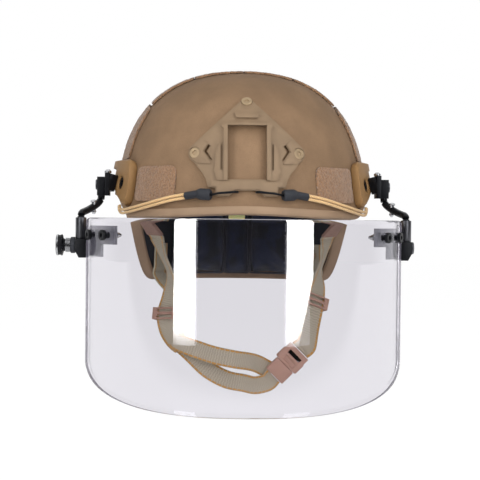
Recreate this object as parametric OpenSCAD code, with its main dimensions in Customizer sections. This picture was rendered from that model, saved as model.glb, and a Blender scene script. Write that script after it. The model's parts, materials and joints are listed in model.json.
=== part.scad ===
// Ballistic helmet with side rails, a front shroud, a padded lining, a chin strap and a
// clear visor that hangs from two arms. Millimetres, +Z up, the wearer faces -Y.
// The origin is the centre of the head seat, in the plane of the brim's lower edge.
// Left and right are the wearer's: the left side is +X.

/* [Shell] */
// Half the width of the shell, outside
shell_half_width = 114.5; // [108:0.5:122]
// Half the length of the shell, outside
shell_half_length = 136; // [128:0.5:146]
// Height of the crown above the brim
shell_height = 130.5; // [122:0.5:140]
// Thickness of the shell's wall
shell_wall = 8.5; // [6:0.5:10]
// Squareness of the dome's curve, 2 is an ellipse
shell_roundness = 2.5; // [2.2:0.1:2.8]
// How far the brim flares out at the front and sides
brim_flare = 3; // [1:0.5:5]
// How far the nape flares out at the back
nape_flare = 6; // [3:0.5:9]
// Height of the cut over the ears above the brim
ear_cut_rise = 17; // [12:1:20]
// Depth of the nape below the brim
nape_drop = 65; // [56:1:70]

/* [Edge trim] */
// Thickness of the trim's wall
trim_wall = 1.6; // [1:0.1:2.2]
// How far the trim laps up the shell's wall
trim_lap = 6; // [5:0.5:8]

/* [Front shroud] */
// Height of the top screw above the brim
shroud_top_screw_z = 93.5; // [92:0.5:100]
// Height of the two lower screws above the brim
shroud_low_screw_z = 50; // [46:0.5:54]
// Half the distance between the two lower screws
shroud_screw_half_span = 42.5; // [42:0.5:48]
// Thickness of the shroud's plate
shroud_plate = 4.5; // [3.5:0.1:6]
// Height of the shroud's ribs above the shell
shroud_rib = 8.5; // [7:0.1:10]
// Width of the shroud's window
shroud_window_w = 33; // [28:0.5:36]
// Radius of the shroud's screw heads
shroud_screw_head_r = 4.7; // [4:0.1:5]

/* [Side rails] */
// Thickness of the rail at its ridges
rail_thick = 8; // [6.5:0.1:9.5]
// Depth of the channel that accessories slide in
rail_channel_depth = 3.4; // [2.5:0.1:4]
// Height of the rail's top edge above the brim
rail_top_z = 46; // [46:0.5:52]
// Height of the rail's front end
rail_front_h = 46; // [40:1:48]
// Height of the rail behind its front end
rail_rear_h = 30; // [27:1:33]
// Radius of the rail's front screw head
rail_screw_head_r = 6; // [5:0.1:6.6]
// Radius of the open accessory hole at the rail's rear end
rail_hole_r = 2.6; // [2:0.1:3]

/* [Bungees] */
// Diameter of the elastic cord
bungee_d = 2.6; // [2:0.1:3]
// Diameter of the wire hook
hook_wire_d = 2; // [1.6:0.1:2.4]

/* [Loop patches] */
// Thickness of the loop patches
patch_thick = 3; // [2:0.1:3.2]
// Radius of the loop patches' corners
patch_corner = 6; // [3:0.5:8]

/* [Padding] */
// Thickness of a pad at its middle
pad_thick = 17; // [12:0.5:19]
// Thickness of a pad at its edge
pad_edge = 8; // [6:0.5:10]

/* [Visor] */
// Radius of the visor's outer face
visor_radius = 150; // [147:0.5:154]
// Thickness of the visor
visor_thick = 8; // [6:0.5:9]
// Height of the visor
visor_height = 163; // [140:1:175]
// Gap between the visor's front and the widest part of the brim
visor_stand_off = 45; // [42:0.5:52]
// Half of the angle that the visor's sheet covers, seen from above
visor_half_angle = 68; // [66:0.5:70]
// Height of the curved part of the visor's lower edge
visor_chin_curve = 48; // [36:1:60]
// How far the visor's top edge lies below the brim
visor_top_drop = 5; // [3:0.5:7]

/* [Visor mount] */
// Radius of the pins that the arms swing on
pivot_pin_r = 3; // [2.5:0.1:3.4]
// Height of the arms' swing axis above the brim
swing_axis_z = 25; // [22:0.5:28]
// How far the arms' swing axis lies behind the brow
swing_axis_back = 89; // [86:0.5:92]
// Depth of the visor's tilt axis below the brim
tilt_axis_drop = 29.5; // [27:0.5:32]
// How far the visor's tilt axis lies behind the visor's side edges
tilt_axis_back = 11.2; // [10:0.2:12]
// Diameter of the arms' round bar
arm_d = 6.4; // [5:0.1:7]
// Radius of the grey hinge barrels
barrel_r = 4.8; // [4.2:0.1:5.4]
// Radius of the index knob's head
knob_r = 9.4; // [8:0.1:11]
// Length of the index knob's pull
knob_pull = 4; // [2:0.5:5]
// Radius of the visor's bolts
visor_bolt_r = 2.5; // [2:0.1:3]

/* [Chin strap] */
// Width of the webbing of the straps
strap_w = 20; // [16:0.5:22]
// Thickness of the webbing
strap_t = 1.8; // [1.2:0.1:2.4]
// Width of each band of the chin cup
cup_band_w = 16.5; // [15:0.5:20]
// Length of the closed buckle
buckle_len = 32; // [30:0.5:36]
// Width of the buckle
buckle_w = 22; // [21:0.5:24]
// Thickness of the buckle
buckle_t = 9; // [8:0.5:11]
// How far the buckle's release tongues travel when they are squeezed
tongue_travel = 2; // [1:0.5:2.5]

/* [Hidden] */
$fn = 48;

// Gap between pieces that touch on the real helmet
gap = 0.3;
// Room under what is glued or screwed to the curved shell
seat_gap = 0.5;
// Room behind the pads and the straps' ends for what fastens them
pad_gap = 0.9;
// Radial clearance of a pin in its bore
pin_clearance = 0.05;
// Height of the side wall for each degree below the widest line
drop_rate = 3;
// Height of the band in which the rim flares, in degrees of the dome's curve
flare_band = 12;
// Angles from the front where the rim rises to the ear cut and where it falls to the nape
ear_rise_start = 58;
ear_rise_span = 20;
nape_fall_start = 104;
nape_fall_span = 27;
// How far the rim dips at the temples
temple_dip = 3;

// Half the visor's width, and the middle of the circle that it follows
visor_half_width = visor_radius * sin(visor_half_angle);
visor_axis_y = -shell_half_length - brim_flare - visor_stand_off + visor_radius;
// How far in front of the head's middle the two axes lie
swing_axis_front = shell_half_length - swing_axis_back;
tilt_axis_front = visor_radius * cos(visor_half_angle) - visor_axis_y - tilt_axis_back;

function smooth(x) = x <= 0 ? 0 : x >= 1 ? 1 : x * x * (3 - 2 * x);
function unit(v) = v / norm(v);
function mix(a, b, s) = a + (b - a) * s;
function from_front(phi) = phi > 180 ? 360 - phi : phi;

// Height of the shell's rim, by the angle from the front
function rim_z(phi) =
  let (a = from_front(phi))
  -temple_dip * smooth(a / 45)
  + (ear_cut_rise + temple_dip) * smooth((a - ear_rise_start) / ear_rise_span)
  - (ear_cut_rise + nape_drop) * smooth((a - nape_fall_start) / nape_fall_span);

// The dome's curve is followed by an angle t: 0 at the crown, 90 at the widest line
function t_at(z) =
  z >= 0 ? acos(pow(min(1, z / shell_height), shell_roundness / 2)) : 90 - z / drop_rate;
function dome_rho(t) = t < 90 ? pow(sin(t), 2 / shell_roundness) : 1;
function dome_z(t, d) =
  t < 90 ? (shell_height + d) * pow(cos(t), 2 / shell_roundness) : -(t - 90) * drop_rate;
function rim_flare(phi, t) =
  mix(brim_flare, nape_flare, smooth((from_front(phi) - 90) / 60))
  * pow(smooth((t - t_at(rim_z(phi)) + flare_band) / flare_band), 2);

// Point of the surface that lies d outside the shell's outer face
function dome_pt(phi, t, d) =
  let (r = dome_rho(t), f = rim_flare(phi, t))
  [((shell_half_width + d) * r + f) * sin(phi),
   -((shell_half_length + d) * r + f) * cos(phi),
   dome_z(t, d)];
function dome_normal(phi, t) =
  unit(cross(dome_pt(phi + 1, t, 0) - dome_pt(phi - 1, t, 0),
             dome_pt(phi, t - 1, 0) - dome_pt(phi, t + 1, 0)));
// Angle from the front of the point at x and z on the dome
function phi_at(x, z) = asin(x / (shell_half_width * dome_rho(t_at(z))));
// Height at which the dome is x away from its middle plane
function z_beside(phi, x) =
  dome_z(asin(pow(x / (shell_half_width * sin(phi)), shell_roundness / 2)), 0);

// Point of the dome above a place in plan
function crown_pt(x, y, d) =
  let (r = sqrt(pow(x / (shell_half_width + d), 2) + pow(y / (shell_half_length + d), 2)))
  [x, y, (shell_height + d) * pow(max(0, 1 - pow(r, shell_roundness)), 1 / shell_roundness)];

// Level direction along the dome, towards the back on the left side
function dome_side(phi, t) = unit(dome_pt(phi + 1, t, 0) - dome_pt(phi - 1, t, 0));

// Puts a piece on the dome with its +Z along the outward normal
module on_dome(phi, z, d = 0) {
  t = t_at(z);
  n = dome_normal(phi, t);
  translate(dome_pt(phi, t, d)) rotate([0, acos(n[2]), atan2(n[1], n[0])]) children();
}

module both_sides() {
  children();
  mirror([1, 0, 0]) children();
}

module right_side() {
  mirror([1, 0, 0]) children();
}

// Solid between two grids of points, the first grid outside
module grid_solid(outer, inner) {
  rows = len(outer);
  cols = len(outer[0]);
  layer = rows * cols;
  points = concat([for (row = outer) each row], [for (row = inner) each row]);
  function at(i, j) = i * cols + j;
  skin = [for (i = [0:rows - 2]) for (j = [0:cols - 2]) each [
    [at(i, j), at(i, j + 1), at(i + 1, j)], [at(i + 1, j), at(i, j + 1), at(i + 1, j + 1)],
    [layer + at(i, j), layer + at(i + 1, j), layer + at(i, j + 1)],
    [layer + at(i + 1, j), layer + at(i + 1, j + 1), layer + at(i, j + 1)]]];
  border = concat(
    [for (j = [0:cols - 2]) at(0, j)], [for (i = [0:rows - 2]) at(i, cols - 1)],
    [for (j = [cols - 1:-1:1]) at(rows - 1, j)], [for (i = [rows - 1:-1:1]) at(i, 0)]);
  wall = [for (k = [0:len(border) - 1])
    let (a = border[k], b = border[(k + 1) % len(border)])
    each [[a, layer + a, b], [b, layer + a, layer + b]]];
  polyhedron(points, concat(skin, wall), convexity = 6);
}

// Solid through a row of rings, closed by a point at each end
module ring_solid(rings, first, last) {
  n = len(rings[0]);
  count = len(rings);
  points = concat([for (r = rings) each r], [first, last]);
  function at(i, j) = i * n + j % n;
  side = [for (i = [0:count - 2]) for (j = [0:n - 1]) each [
    [at(i, j), at(i, j + 1), at(i + 1, j)], [at(i + 1, j), at(i, j + 1), at(i + 1, j + 1)]]];
  caps = [for (j = [0:n - 1]) each [
    [at(0, j + 1), at(0, j), count * n], [at(count - 1, j), at(count - 1, j + 1), count * n + 1]]];
  polyhedron(points, concat(side, caps), convexity = 6);
}

// Solid through rings that close on themselves
module ring_loop(rings) {
  n = len(rings[0]);
  count = len(rings);
  function at(i, j) = (i % count) * n + j % n;
  side = [for (i = [0:count - 1]) for (j = [0:n - 1]) each [
    [at(i, j), at(i, j + 1), at(i + 1, j + 1)], [at(i, j), at(i + 1, j + 1), at(i + 1, j)]]];
  polyhedron([for (r = rings) each r], side, convexity = 6);
}

// Smooth curve through a few points
function spline_pt(p, s) =
  let (n = len(p), i = min(n - 2, floor(s)), u = s - i,
       a = p[max(0, i - 1)], b = p[i], c = p[i + 1], e = p[min(n - 1, i + 2)])
  0.5 * (2 * b + (c - a) * u + (2 * a - 5 * b + 4 * c - e) * u * u
         + (3 * b - a - 3 * c + e) * u * u * u);
function spline(p, steps) = [for (k = [0:steps]) spline_pt(p, (len(p) - 1) * k / steps)];
function tangent(p, i) = unit(p[min(len(p) - 1, i + 1)] - p[max(0, i - 1)]);

// Round bar along a curve
module tube(p, d, sides) {
  rings = [for (i = [0:len(p) - 1])
    let (t = tangent(p, i),
         a = unit(cross(t, abs(t[2]) > 0.9 ? [0, 1, 0] : [0, 0, 1])),
         b = cross(t, a))
    [for (k = [0:sides - 1]) p[i] + d / 2 * (cos(360 * k / sides) * a - sin(360 * k / sides) * b)]];
  ring_solid(rings, p[0], p[len(p) - 1]);
}

// Flat band along a curve; each point has the direction of the band's width
module band(p, across, w, t) {
  rings = [for (i = [0:len(p) - 1])
    let (dir = tangent(p, i),
         side = unit(across[i] - (across[i] * dir) * dir),
         n = cross(dir, side))
    [for (c = [[1, 1], [-1, 1], [-1, -1], [1, -1]]) p[i] + side * c[0] * w / 2 - n * c[1] * t / 2]];
  ring_solid(rings, p[0], p[len(p) - 1]);
}

// Steps along a side whose corners are round, from 0 to 1
function corner_steps(len_mm, corner, inner) = concat(
  [for (k = [0:3]) corner * (1 - cos(30 * k)) / len_mm],
  [for (k = [1:inner]) mix(corner / len_mm, 1 - corner / len_mm, k / (inner + 1))],
  [for (k = [3:-1:0]) 1 - corner * (1 - cos(30 * k)) / len_mm]);
// How far the edge is drawn in at a corner
function corner_inset(u, len_mm, corner) =
  let (e = min(u, 1 - u) * len_mm)
  e >= corner ? 0 : corner - sqrt(max(0, corner * corner - pow(corner - e, 2)));

// Patch that follows the dome between two angles, from a height up to another, or up to where
// the dome is a given distance away from its middle plane
module dome_patch(phi_a, phi_b, z_lo, z_hi, d_in, d_out, corner, along, up, beside = 0) {
  length = (phi_b - phi_a) * PI / 180 * shell_half_width;
  function row(u, d) =
    let (c = corner_inset(u, length, corner), phi = mix(phi_a, phi_b, u),
         top = beside > 0 ? z_beside(phi, beside) : z_hi)
    [for (k = [0:up]) dome_pt(phi, t_at(mix(z_lo + c, top - c, k / up)), d)];
  steps = corner_steps(length, corner, along);
  grid_solid([for (u = steps) row(u, d_out)], [for (u = steps) row(u, d_in)]);
}

// Patch that follows the dome over a rectangle in plan
module crown_patch(x_a, x_b, y_a, y_b, d_in, d_out, corner, along, up) {
  length = y_b - y_a;
  function row(u, d) =
    let (c = corner_inset(u, length, corner))
    [for (k = [0:up]) crown_pt(mix(x_b - c, x_a + c, k / up), mix(y_a, y_b, u), d)];
  steps = corner_steps(length, corner, along);
  grid_solid([for (u = steps) row(u, d_out)], [for (u = steps) row(u, d_in)]);
}

// Cushion on the inside of the dome, thick in the middle and thin at its edges
module dome_pad(phi_a, phi_b, z_lo, z_hi, along, up, d_back = -shell_wall - pad_gap) {
  function swell(u, v) = pow(max(0, 1 - pow(abs(2 * u - 1), 4)), 0.5)
    * pow(max(0, 1 - pow(abs(2 * v - 1), 4)), 0.5);
  function place(u, v, d) = dome_pt(mix(phi_a, phi_b, u), t_at(mix(z_lo, z_hi, v)), d);
  back = [for (i = [0:along]) [for (j = [0:up]) place(i / along, j / up, d_back)]];
  face = [for (i = [0:along]) [for (j = [0:up])
    let (u = i / along, v = j / up, s = swell(u, v))
    place(mix(0.5, u, mix(0.97, 1, s)), mix(0.5, v, mix(0.97, 1, s)),
          d_back - mix(pad_edge, pad_thick, s))]];
  grid_solid(back, face);
}

// Shell and its trim

around = 60;
up_wall = 17;

function t_rim(phi) = t_at(rim_z(phi));
function t_lap(phi) = t_at(rim_z(phi) + trim_lap);
// The rows lie closer together near the rim, and the last two are the trim's upper and lower edge
function shell_ring(k, d) = [for (i = [0:around - 1])
  let (phi = 360 * i / around, near = 1 - pow(1 - k / (up_wall - 1), 1.25))
  dome_pt(phi, k < up_wall ? mix(4, t_lap(phi), near) : t_rim(phi), d)];

module shell_blank() {
  rings = concat([for (k = [0:up_wall]) shell_ring(k, 0)],
                 [for (k = [up_wall:-1:0]) shell_ring(k, -shell_wall)]);
  ring_solid(rings, [0, 0, shell_height], [0, 0, shell_height - shell_wall]);
}

module shell() {
  color("#9a8063") difference() {
    shell_blank();
    shroud_places() screw_bore(shroud_screw_r);
    both_sides() rail_screw_places() screw_bore(rail_screw_r);
    both_sides() strap_screw_places() screw_bore(strap_screw_r);
  }
}

module screw_bore(r) {
  translate([0, 0, -shell_wall - 8]) cylinder(r = r + 2 * pin_clearance, h = shell_wall + 14);
}

// U-shaped trim that grips the rim
module edge_trim() {
  function high(phi, d) = dome_pt(phi, t_lap(phi), d);
  function low(phi, d, drop) = dome_pt(phi, t_rim(phi), d) - [0, 0, drop];
  g = gap / 2;
  out = g + trim_wall;
  in = -shell_wall - out;
  rings = [for (i = [0:around - 1])
    let (phi = 360 * i / around)
    [high(phi, out), low(phi, out, 0), low(phi, out, out), low(phi, in, out), low(phi, in, 0),
     high(phi, in), high(phi, -shell_wall - g), low(phi, -shell_wall - g, g), low(phi, g, g),
     high(phi, g)]];
  color("#8f7355") ring_loop(rings);
}

// Front shroud

shroud_screw_r = 2.5;
shroud_corner_r = 8.5;
shroud_apex_r = 7.2;
shroud_foot_z = 14;
shroud_leg_x = 26;
shroud_notch_half = 10;
shroud_notch_h = 5;
shroud_window_lo = 28.5;
shroud_window_hi = 75;
// Heights over the shell of the raised blocks and of the outer ribs
shroud_block = shroud_plate + 1.4;
shroud_low_rib = shroud_rib - 1.5;

module shroud_places() {
  on_dome(0, shroud_top_screw_z) children();
  both_sides() on_dome(phi_at(shroud_screw_half_span, shroud_low_screw_z), shroud_low_screw_z)
    children();
}

// Layer of the forehead, between two heights above the shell, cut to a shape seen from the front
module forehead_layer(d_in, d_out) {
  intersection() {
    dome_patch(-34, 34, 8, 116, d_in, d_out, 4, 10, 14);
    rotate([90, 0, 0]) linear_extrude(shell_half_length + 40) children();
  }
}

module both_halves() {
  children();
  mirror([1, 0]) children();
}

module shroud_outline() {
  low = shroud_low_screw_z;
  difference() {
    union() {
      hull() {
        translate([0, shroud_top_screw_z - 1.5]) circle(r = shroud_apex_r);
        both_halves() translate([shroud_screw_half_span - 1, low + 1]) circle(r = shroud_corner_r);
      }
      both_halves() polygon([[-1, low], [shroud_screw_half_span, low], [shroud_screw_half_span + 3, low - 6],
        [42, low - 11], [37.5, 33.5], [shroud_leg_x + 8.6, 28], [shroud_leg_x + 7, 22],
        [shroud_leg_x + 0.8, 21.2], [shroud_leg_x, shroud_foot_z], [-1, shroud_foot_z]]);
    }
    shroud_window();
    both_halves() {
      polygon([[-1, shroud_foot_z - 1], [shroud_notch_half + 6, shroud_foot_z - 1],
        [shroud_notch_half, shroud_foot_z + shroud_notch_h], [-1, shroud_foot_z + shroud_notch_h]]);
      polygon([[33, low + 8.5], [36.5, low + 2.5], [31, low - 5.5], [29.6, low - 4.6],
        [34.2, low + 2.5], [31.2, low + 7.5]]);
    }
  }
}

module shroud_window() {
  half = shroud_window_w / 2;
  polygon([[-half, shroud_window_lo], [half, shroud_window_lo], [half, shroud_window_hi - 1.5],
    [half - 1.5, shroud_window_hi], [-half + 1.5, shroud_window_hi], [-half, shroud_window_hi - 1.5]]);
}

// Blocks round the lower screws, each with a notch towards the screw, and the bar at the foot
module shroud_blocks() {
  low = shroud_low_screw_z;
  intersection() {
    offset(delta = -1) shroud_outline();
    both_halves() {
      polygon([[60, low - 4], [60, low + 6], [40, low + 14.5], [33, low + 8.5], [36.5, low + 2.5],
        [31, low - 5.5], [31.3, low - 8.2], [42, low - 7.6], [50, low - 9]]);
      polygon([[-1, shroud_window_lo - 1.2], [shroud_leg_x + 5, shroud_window_lo - 1.2],
        [shroud_leg_x + 5, shroud_foot_z - 1], [-1, shroud_foot_z - 1]]);
    }
  }
}

module shroud_outer_ribs() {
  half = shroud_window_w / 2;
  both_halves() {
    polygon([[half + 0.5, shroud_window_lo - 1], [half + 8.6, shroud_window_lo - 1],
      [half + 12.3, shroud_window_lo + 8], [half + 11.1, shroud_window_lo + 9.5],
      [half + 10.2, shroud_window_lo + 24], [half + 7.4, shroud_window_lo + 30],
      [half + 6.2, shroud_window_lo + 30], [half + 6.2, shroud_window_lo + 8],
      [half + 0.5, shroud_window_lo + 8]]);
    polygon([[-1, shroud_window_hi + 6.8], [9.3, shroud_window_hi + 6.8], [11, shroud_window_hi + 11],
      [-1, shroud_window_hi + 11]]);
  }
}

// Frame along the sides and the top of the window
module shroud_frame() {
  half = shroud_window_w / 2;
  both_halves() polygon([[half + 0.2, shroud_window_lo - 0.5], [half + 3.6, shroud_window_lo - 0.5],
    [half + 3.6, shroud_window_hi - 3], [half + 6, shroud_window_hi - 0.5],
    [half + 3.6, shroud_window_hi + 2.2], [-1, shroud_window_hi + 2.8],
    [-1, shroud_window_hi + 0.2], [half + 0.2, shroud_window_hi + 0.2]]);
}

module front_shroud() {
  color("#ac9068") difference() {
    union() {
      forehead_layer(seat_gap, shroud_plate) shroud_outline();
      forehead_layer(seat_gap + 1, shroud_block) shroud_blocks();
      forehead_layer(seat_gap + 1, shroud_low_rib) shroud_outer_ribs();
      forehead_layer(seat_gap + 1, shroud_rib) shroud_frame();
    }
    shroud_places() {
      cylinder(r = shroud_screw_r + 2 * pin_clearance, h = 30, center = true);
      translate([0, 0, shroud_plate - 1.2]) cylinder(r = shroud_screw_head_r + gap, h = 20);
    }
  }
}

// Screws with a disc head and a socket

nut_r = 4.4;
nut_h = 1.6;

module disc_screw(seat, head_r, head_h, shank_r, length, socket_r) {
  translate([0, 0, seat]) difference() {
    union() {
      cylinder(r = head_r, h = head_h);
      translate([0, 0, -length]) cylinder(r = shank_r, h = length + 0.1);
    }
    translate([0, 0, head_h - 1.4]) cylinder(r = socket_r, h = 3, $fn = 6);
  }
}

module shroud_screws() {
  color("#b09a78") shroud_places()
    disc_screw(shroud_plate - 1.15, shroud_screw_head_r, 2, shroud_screw_r, shell_wall + 3, 2.2);
}

// Side rails

rail_phi_front = 58;
rail_phi_rear = 127;
rail_screw_r = 2.5;
rail_front_screw = [65, 25];
rail_rear_screw = [109, 30];
rail_hole_place = [120, 8];

function rail_top(phi) = rail_top_z - 44 * smooth((phi - 100) / 34);
function rail_bottom(phi) = max(rim_z(phi) + trim_lap + 1.2,
  rail_top(phi) - mix(rail_front_h, rail_rear_h, smooth((phi - 68) / 14)));
// Height of the rail's face over the shell, across the rail (v) and along it
function rail_face(phi, v) =
  let (channel = rail_channel_depth * smooth((phi - 76) / 3) * smooth((103 - phi) / 3),
       inside = v > 0.34 && v < 0.66 ? 1 : 0)
  rail_thick - channel * inside - (v <= 0 || v >= 1 ? 3 : 0);

module rail_blank() {
  across = [0, 0.07, 0.2, 0.33, 0.36, 0.5, 0.64, 0.67, 0.8, 0.93, 1];
  length = (rail_phi_rear - rail_phi_front) * PI / 180 * shell_half_width;
  steps = corner_steps(length, 9, 15);
  function place(u, v, face) =
    let (phi = mix(rail_phi_front, rail_phi_rear, u), c = corner_inset(u, length, 9),
         z = mix(rail_bottom(phi) + c, rail_top(phi) - c, v))
    dome_pt(phi, t_at(z), face ? rail_face(phi, v) : seat_gap);
  grid_solid([for (u = steps) [for (v = across) place(u, v, true)]],
             [for (u = steps) [for (v = across) place(u, v, false)]]);
}

module rail_screw_places() {
  on_dome(rail_front_screw[0], rail_front_screw[1]) children();
  on_dome(rail_rear_screw[0], rail_rear_screw[1]) children();
}

module rail() {
  color("#a58a63") difference() {
    rail_blank();
    rail_screw_places() {
      cylinder(r = rail_screw_r + 2 * pin_clearance, h = 40, center = true);
      translate([0, 0, rail_thick - 3.4]) cylinder(r = rail_screw_head_r + gap, h = 10);
    }
    on_dome(rail_hole_place[0], rail_hole_place[1]) {
      cylinder(r = rail_hole_r, h = 40, center = true);
    }
  }
}

// The front screw also holds the strap's keeper on the inside of the shell
module rail_screw(inside) {
  seat = rail_thick - 3.35;
  disc_screw(seat, rail_screw_head_r, 2.4, rail_screw_r, seat + shell_wall + inside + 1, 2.8);
  translate([0, 0, -shell_wall - inside - nut_h]) cylinder(r = nut_r, h = nut_h);
}

module rail_screws() {
  color("#17181b") both_sides() {
    on_dome(rail_front_screw[0], rail_front_screw[1]) rail_screw(pad_gap + keeper_t + 2 * gap);
    on_dome(rail_rear_screw[0], rail_rear_screw[1]) rail_screw(pad_gap);
  }
}

// Loop patches

// Seams between the patches, by their distance from the middle plane, and their width
patch_seam_inner = 45.5;
patch_seam_outer = 85;
patch_seam = 2;

module front_patch() {
  color("#a98a6c") dome_patch(32, rail_phi_front - 2, 10, 40, seat_gap, seat_gap + patch_thick,
    patch_corner, 4, 5);
}

module side_patch() {
  color("#a98a6c") dome_patch(68, 112, rail_top_z + 2, 0, seat_gap, seat_gap + patch_thick,
    patch_corner, 6, 7, patch_seam_outer + patch_seam / 2);
}

module rear_patch() {
  color("#a98a6c") dome_patch(152, 208, 38, 92, seat_gap, seat_gap + patch_thick,
    patch_corner, 7, 8);
}

module crown_patches() {
  color("#a98a6c") both_sides() {
    crown_patch(patch_seam / 2, patch_seam_inner - patch_seam / 2, -38, 66, seat_gap,
      seat_gap + patch_thick, patch_corner, 7, 4);
    crown_patch(patch_seam_inner + patch_seam / 2, patch_seam_outer - patch_seam / 2, -34, 46, seat_gap,
      seat_gap + patch_thick, patch_corner, 6, 4);
  }
}

// Padding

front_pad_low = 8;

module front_pad() {
  color("#1c2233") dome_pad(-33, 33, front_pad_low, 62, 12, 8);
}

module crown_pad() {
  d_back = -shell_wall - pad_gap;
  rings = 7;
  n = 28;
  reach = 56;
  function disc(k, d, lift) = [for (j = [0:n - 1])
    let (a = -360 * j / n, r = reach * k)
    crown_pt(r * cos(a), 1.1 * r * sin(a), d) - [0, 0, lift]];
  back = [for (k = [1:rings]) disc(k / rings, d_back, 0)];
  face = [for (k = [rings:-1:1])
    disc(k / rings * 0.97, d_back, mix(pad_edge, pad_thick, sqrt(1 - pow(k / rings, 4))))];
  color("#1c2233")
    ring_solid(concat(back, face), crown_pt(0, 0, d_back),
               crown_pt(0, 0, d_back) - [0, 0, pad_thick]);
}

// The rear pads lie inside the trim and end a little below its upper edge
rear_pad_low = trim_lap - nape_drop - 2;
rear_pad_back = -shell_wall - trim_wall - 2.5 * gap;

module rear_pad() {
  color("#1c2233") dome_pad(138, 172, rear_pad_low, 42, 8, 10, rear_pad_back);
}

module nape_pad() {
  color("#1c2233") dome_pad(173, 187, rear_pad_low, 44, 5, 10, rear_pad_back);
}

module side_pad() {
  color("#1c2233") dome_pad(74, 112, 40, 92, 8, 7);
}

// Tab with a round end that hangs from the front pad's lower edge
tab_w = 14;
tab_len = 15.5;

module pad_tab() {
  d_back = -shell_wall - pad_gap;
  top = dome_z(t_at(front_pad_low), d_back) - gap;
  round_r = 5;
  color("#d3cf9f") translate([-8, -shell_half_length - d_back + 4, 0]) rotate([90, 0, 0])
    linear_extrude(1.5) union() {
      translate([-tab_w / 2, top - tab_len + round_r]) square([tab_w, tab_len - round_r]);
      translate([round_r - tab_w / 2, top - tab_len]) square([tab_w - 2 * round_r, tab_len - 1]);
      for (s = [-1, 1]) translate([s * (tab_w / 2 - round_r), top - tab_len + round_r])
        circle(r = round_r);
    }
}

// Bungees. Each is an elastic cord folded in two, from the rail's front end to a sleeve.

// Angle from the front, height and height above the shell of each point of the route
bungee_route = [[68, 6.2, 2], [67.4, 2.8, 2.2], [64, 0.8, 2.6], [57, 1.8, 3.4], [49, 4.2, 4],
  [41, 7.4, 4.3], [33, 11, 4.3], [25.4, 13.5, 4.3]];
bungee_spread = 1.5;
bungee_steps = 15;

bungee_middle = spline([for (p = bungee_route) dome_pt(p[0], t_at(p[1]), p[2] + bungee_d / 2)],
  bungee_steps);
function bungee_line(off) = [for (i = [0:bungee_steps])
  let (p = bungee_middle[i], out = unit([p[0], p[1] * 0.8, 0]))
  p + off * unit(cross(tangent(bungee_middle, i), out))];

module bungee() {
  color("#b08a4c") {
    tube(bungee_line(bungee_spread), bungee_d, 8);
    tube(bungee_line(-bungee_spread), bungee_d, 8);
  }
}

// The sleeve and the barrel go on where the cord ends
sleeve_r = 3.3;
sleeve_len = 12;
bungee_barrel_r = 4.9;
barrel_len = 12;
cord_end = bungee_middle[bungee_steps];
cord_dir = tangent(bungee_middle, bungee_steps);
sleeve_start = cord_end + gap * cord_dir;
sleeve_turn = unit(cord_dir + [-0.05, 0.15, -0.2]);
barrel_start = sleeve_start + sleeve_len * cord_dir;
barrel_end = barrel_start + barrel_len * sleeve_turn;

module along(a, b) {
  v = b - a;
  translate(a) rotate([0, acos(v[2] / norm(v)), atan2(v[1], v[0])]) children();
}

module bungee_end() {
  color("#26282c") difference() {
    union() {
      along(sleeve_start, barrel_start) cylinder(r = sleeve_r, h = sleeve_len + 0.4);
      along(barrel_start, barrel_end) {
        cylinder(r1 = sleeve_r + 0.6, r2 = bungee_barrel_r, h = 2.4);
        translate([0, 0, 2.3]) cylinder(r = bungee_barrel_r, h = barrel_len - 3.8);
        translate([0, 0, barrel_len - 1.6])
          cylinder(r1 = bungee_barrel_r, r2 = bungee_barrel_r - 0.9, h = 1.6);
      }
    }
    along(barrel_start + 4 * sleeve_turn, barrel_end)
      cylinder(r = hook_wire_d / 2 + 2 * gap, h = barrel_len);
  }
}

// Wire hook from the barrel to the underside of the bar over the shroud's notch
module hook() {
  grip = shroud_foot_z + shroud_notch_h - gap - hook_wire_d / 2;
  front = -shell_half_length - shroud_rib - gap - hook_wire_d / 2;
  route = [barrel_start + 5 * sleeve_turn, barrel_end, [24, front - 0.2, grip - 1.2],
    [17, front - 0.6, grip - 0.6], [11.5, front - 0.4, grip], [8.6, front + 1.6, grip],
    [8, front + 4.4, grip], [8, front + 7, grip]];
  color("#1b1c1f") tube(spline(route, 17), hook_wire_d, 8);
}

// Rail clamps. A plate lies on the rail, and a block carries the arm's pivot pin.

clamp_phi = 71.5;
clamp_z = 27;
clamp_half = 9;
clamp_drop = 10;
clamp_block_t = 4.2;
lug_t = arm_d + 0.2;
clamp_block_in = dome_pt(75.5, t_at(swing_axis_z - 5), rail_thick + gap)[0];
clamp_block_out = clamp_block_in + clamp_block_t;
lug_in = clamp_block_out + gap + 0.1;
lug_out = lug_in + lug_t;
lug_mid = (lug_in + lug_out) / 2;
clamp_screw_r = 1.8;
clamp_screw_x = clamp_block_in + clamp_screw_r + 0.3;
clamp_top = swing_axis_z + clamp_drop + 0.6;

module swing_axis(x) {
  translate([x, -swing_axis_front, swing_axis_z]) rotate([0, 90, 0]) children();
}

module clamp_screw_place(z) {
  translate([clamp_screw_x, -swing_axis_front + 4, z]) children();
}

module rail_clamp() {
  color("#141518") difference() {
    union() {
      on_dome(clamp_phi, clamp_z, rail_thick + 2 * gap) translate([-4.5, -7, 0]) cube([15, 16, 7]);
      translate([clamp_block_in, -swing_axis_front - clamp_half, swing_axis_z - clamp_drop])
        cube([clamp_block_t, 2 * clamp_half, clamp_top - swing_axis_z + clamp_drop]);
    }
    translate([clamp_block_out, -swing_axis_front - 40, swing_axis_z - 40]) cube(80);
    swing_axis(clamp_block_in - 20) cylinder(r = pivot_pin_r + pin_clearance, h = 60);
    clamp_screw_place(clamp_top - 5.6) cylinder(r = clamp_screw_r + pin_clearance, h = 30);
  }
}

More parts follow.
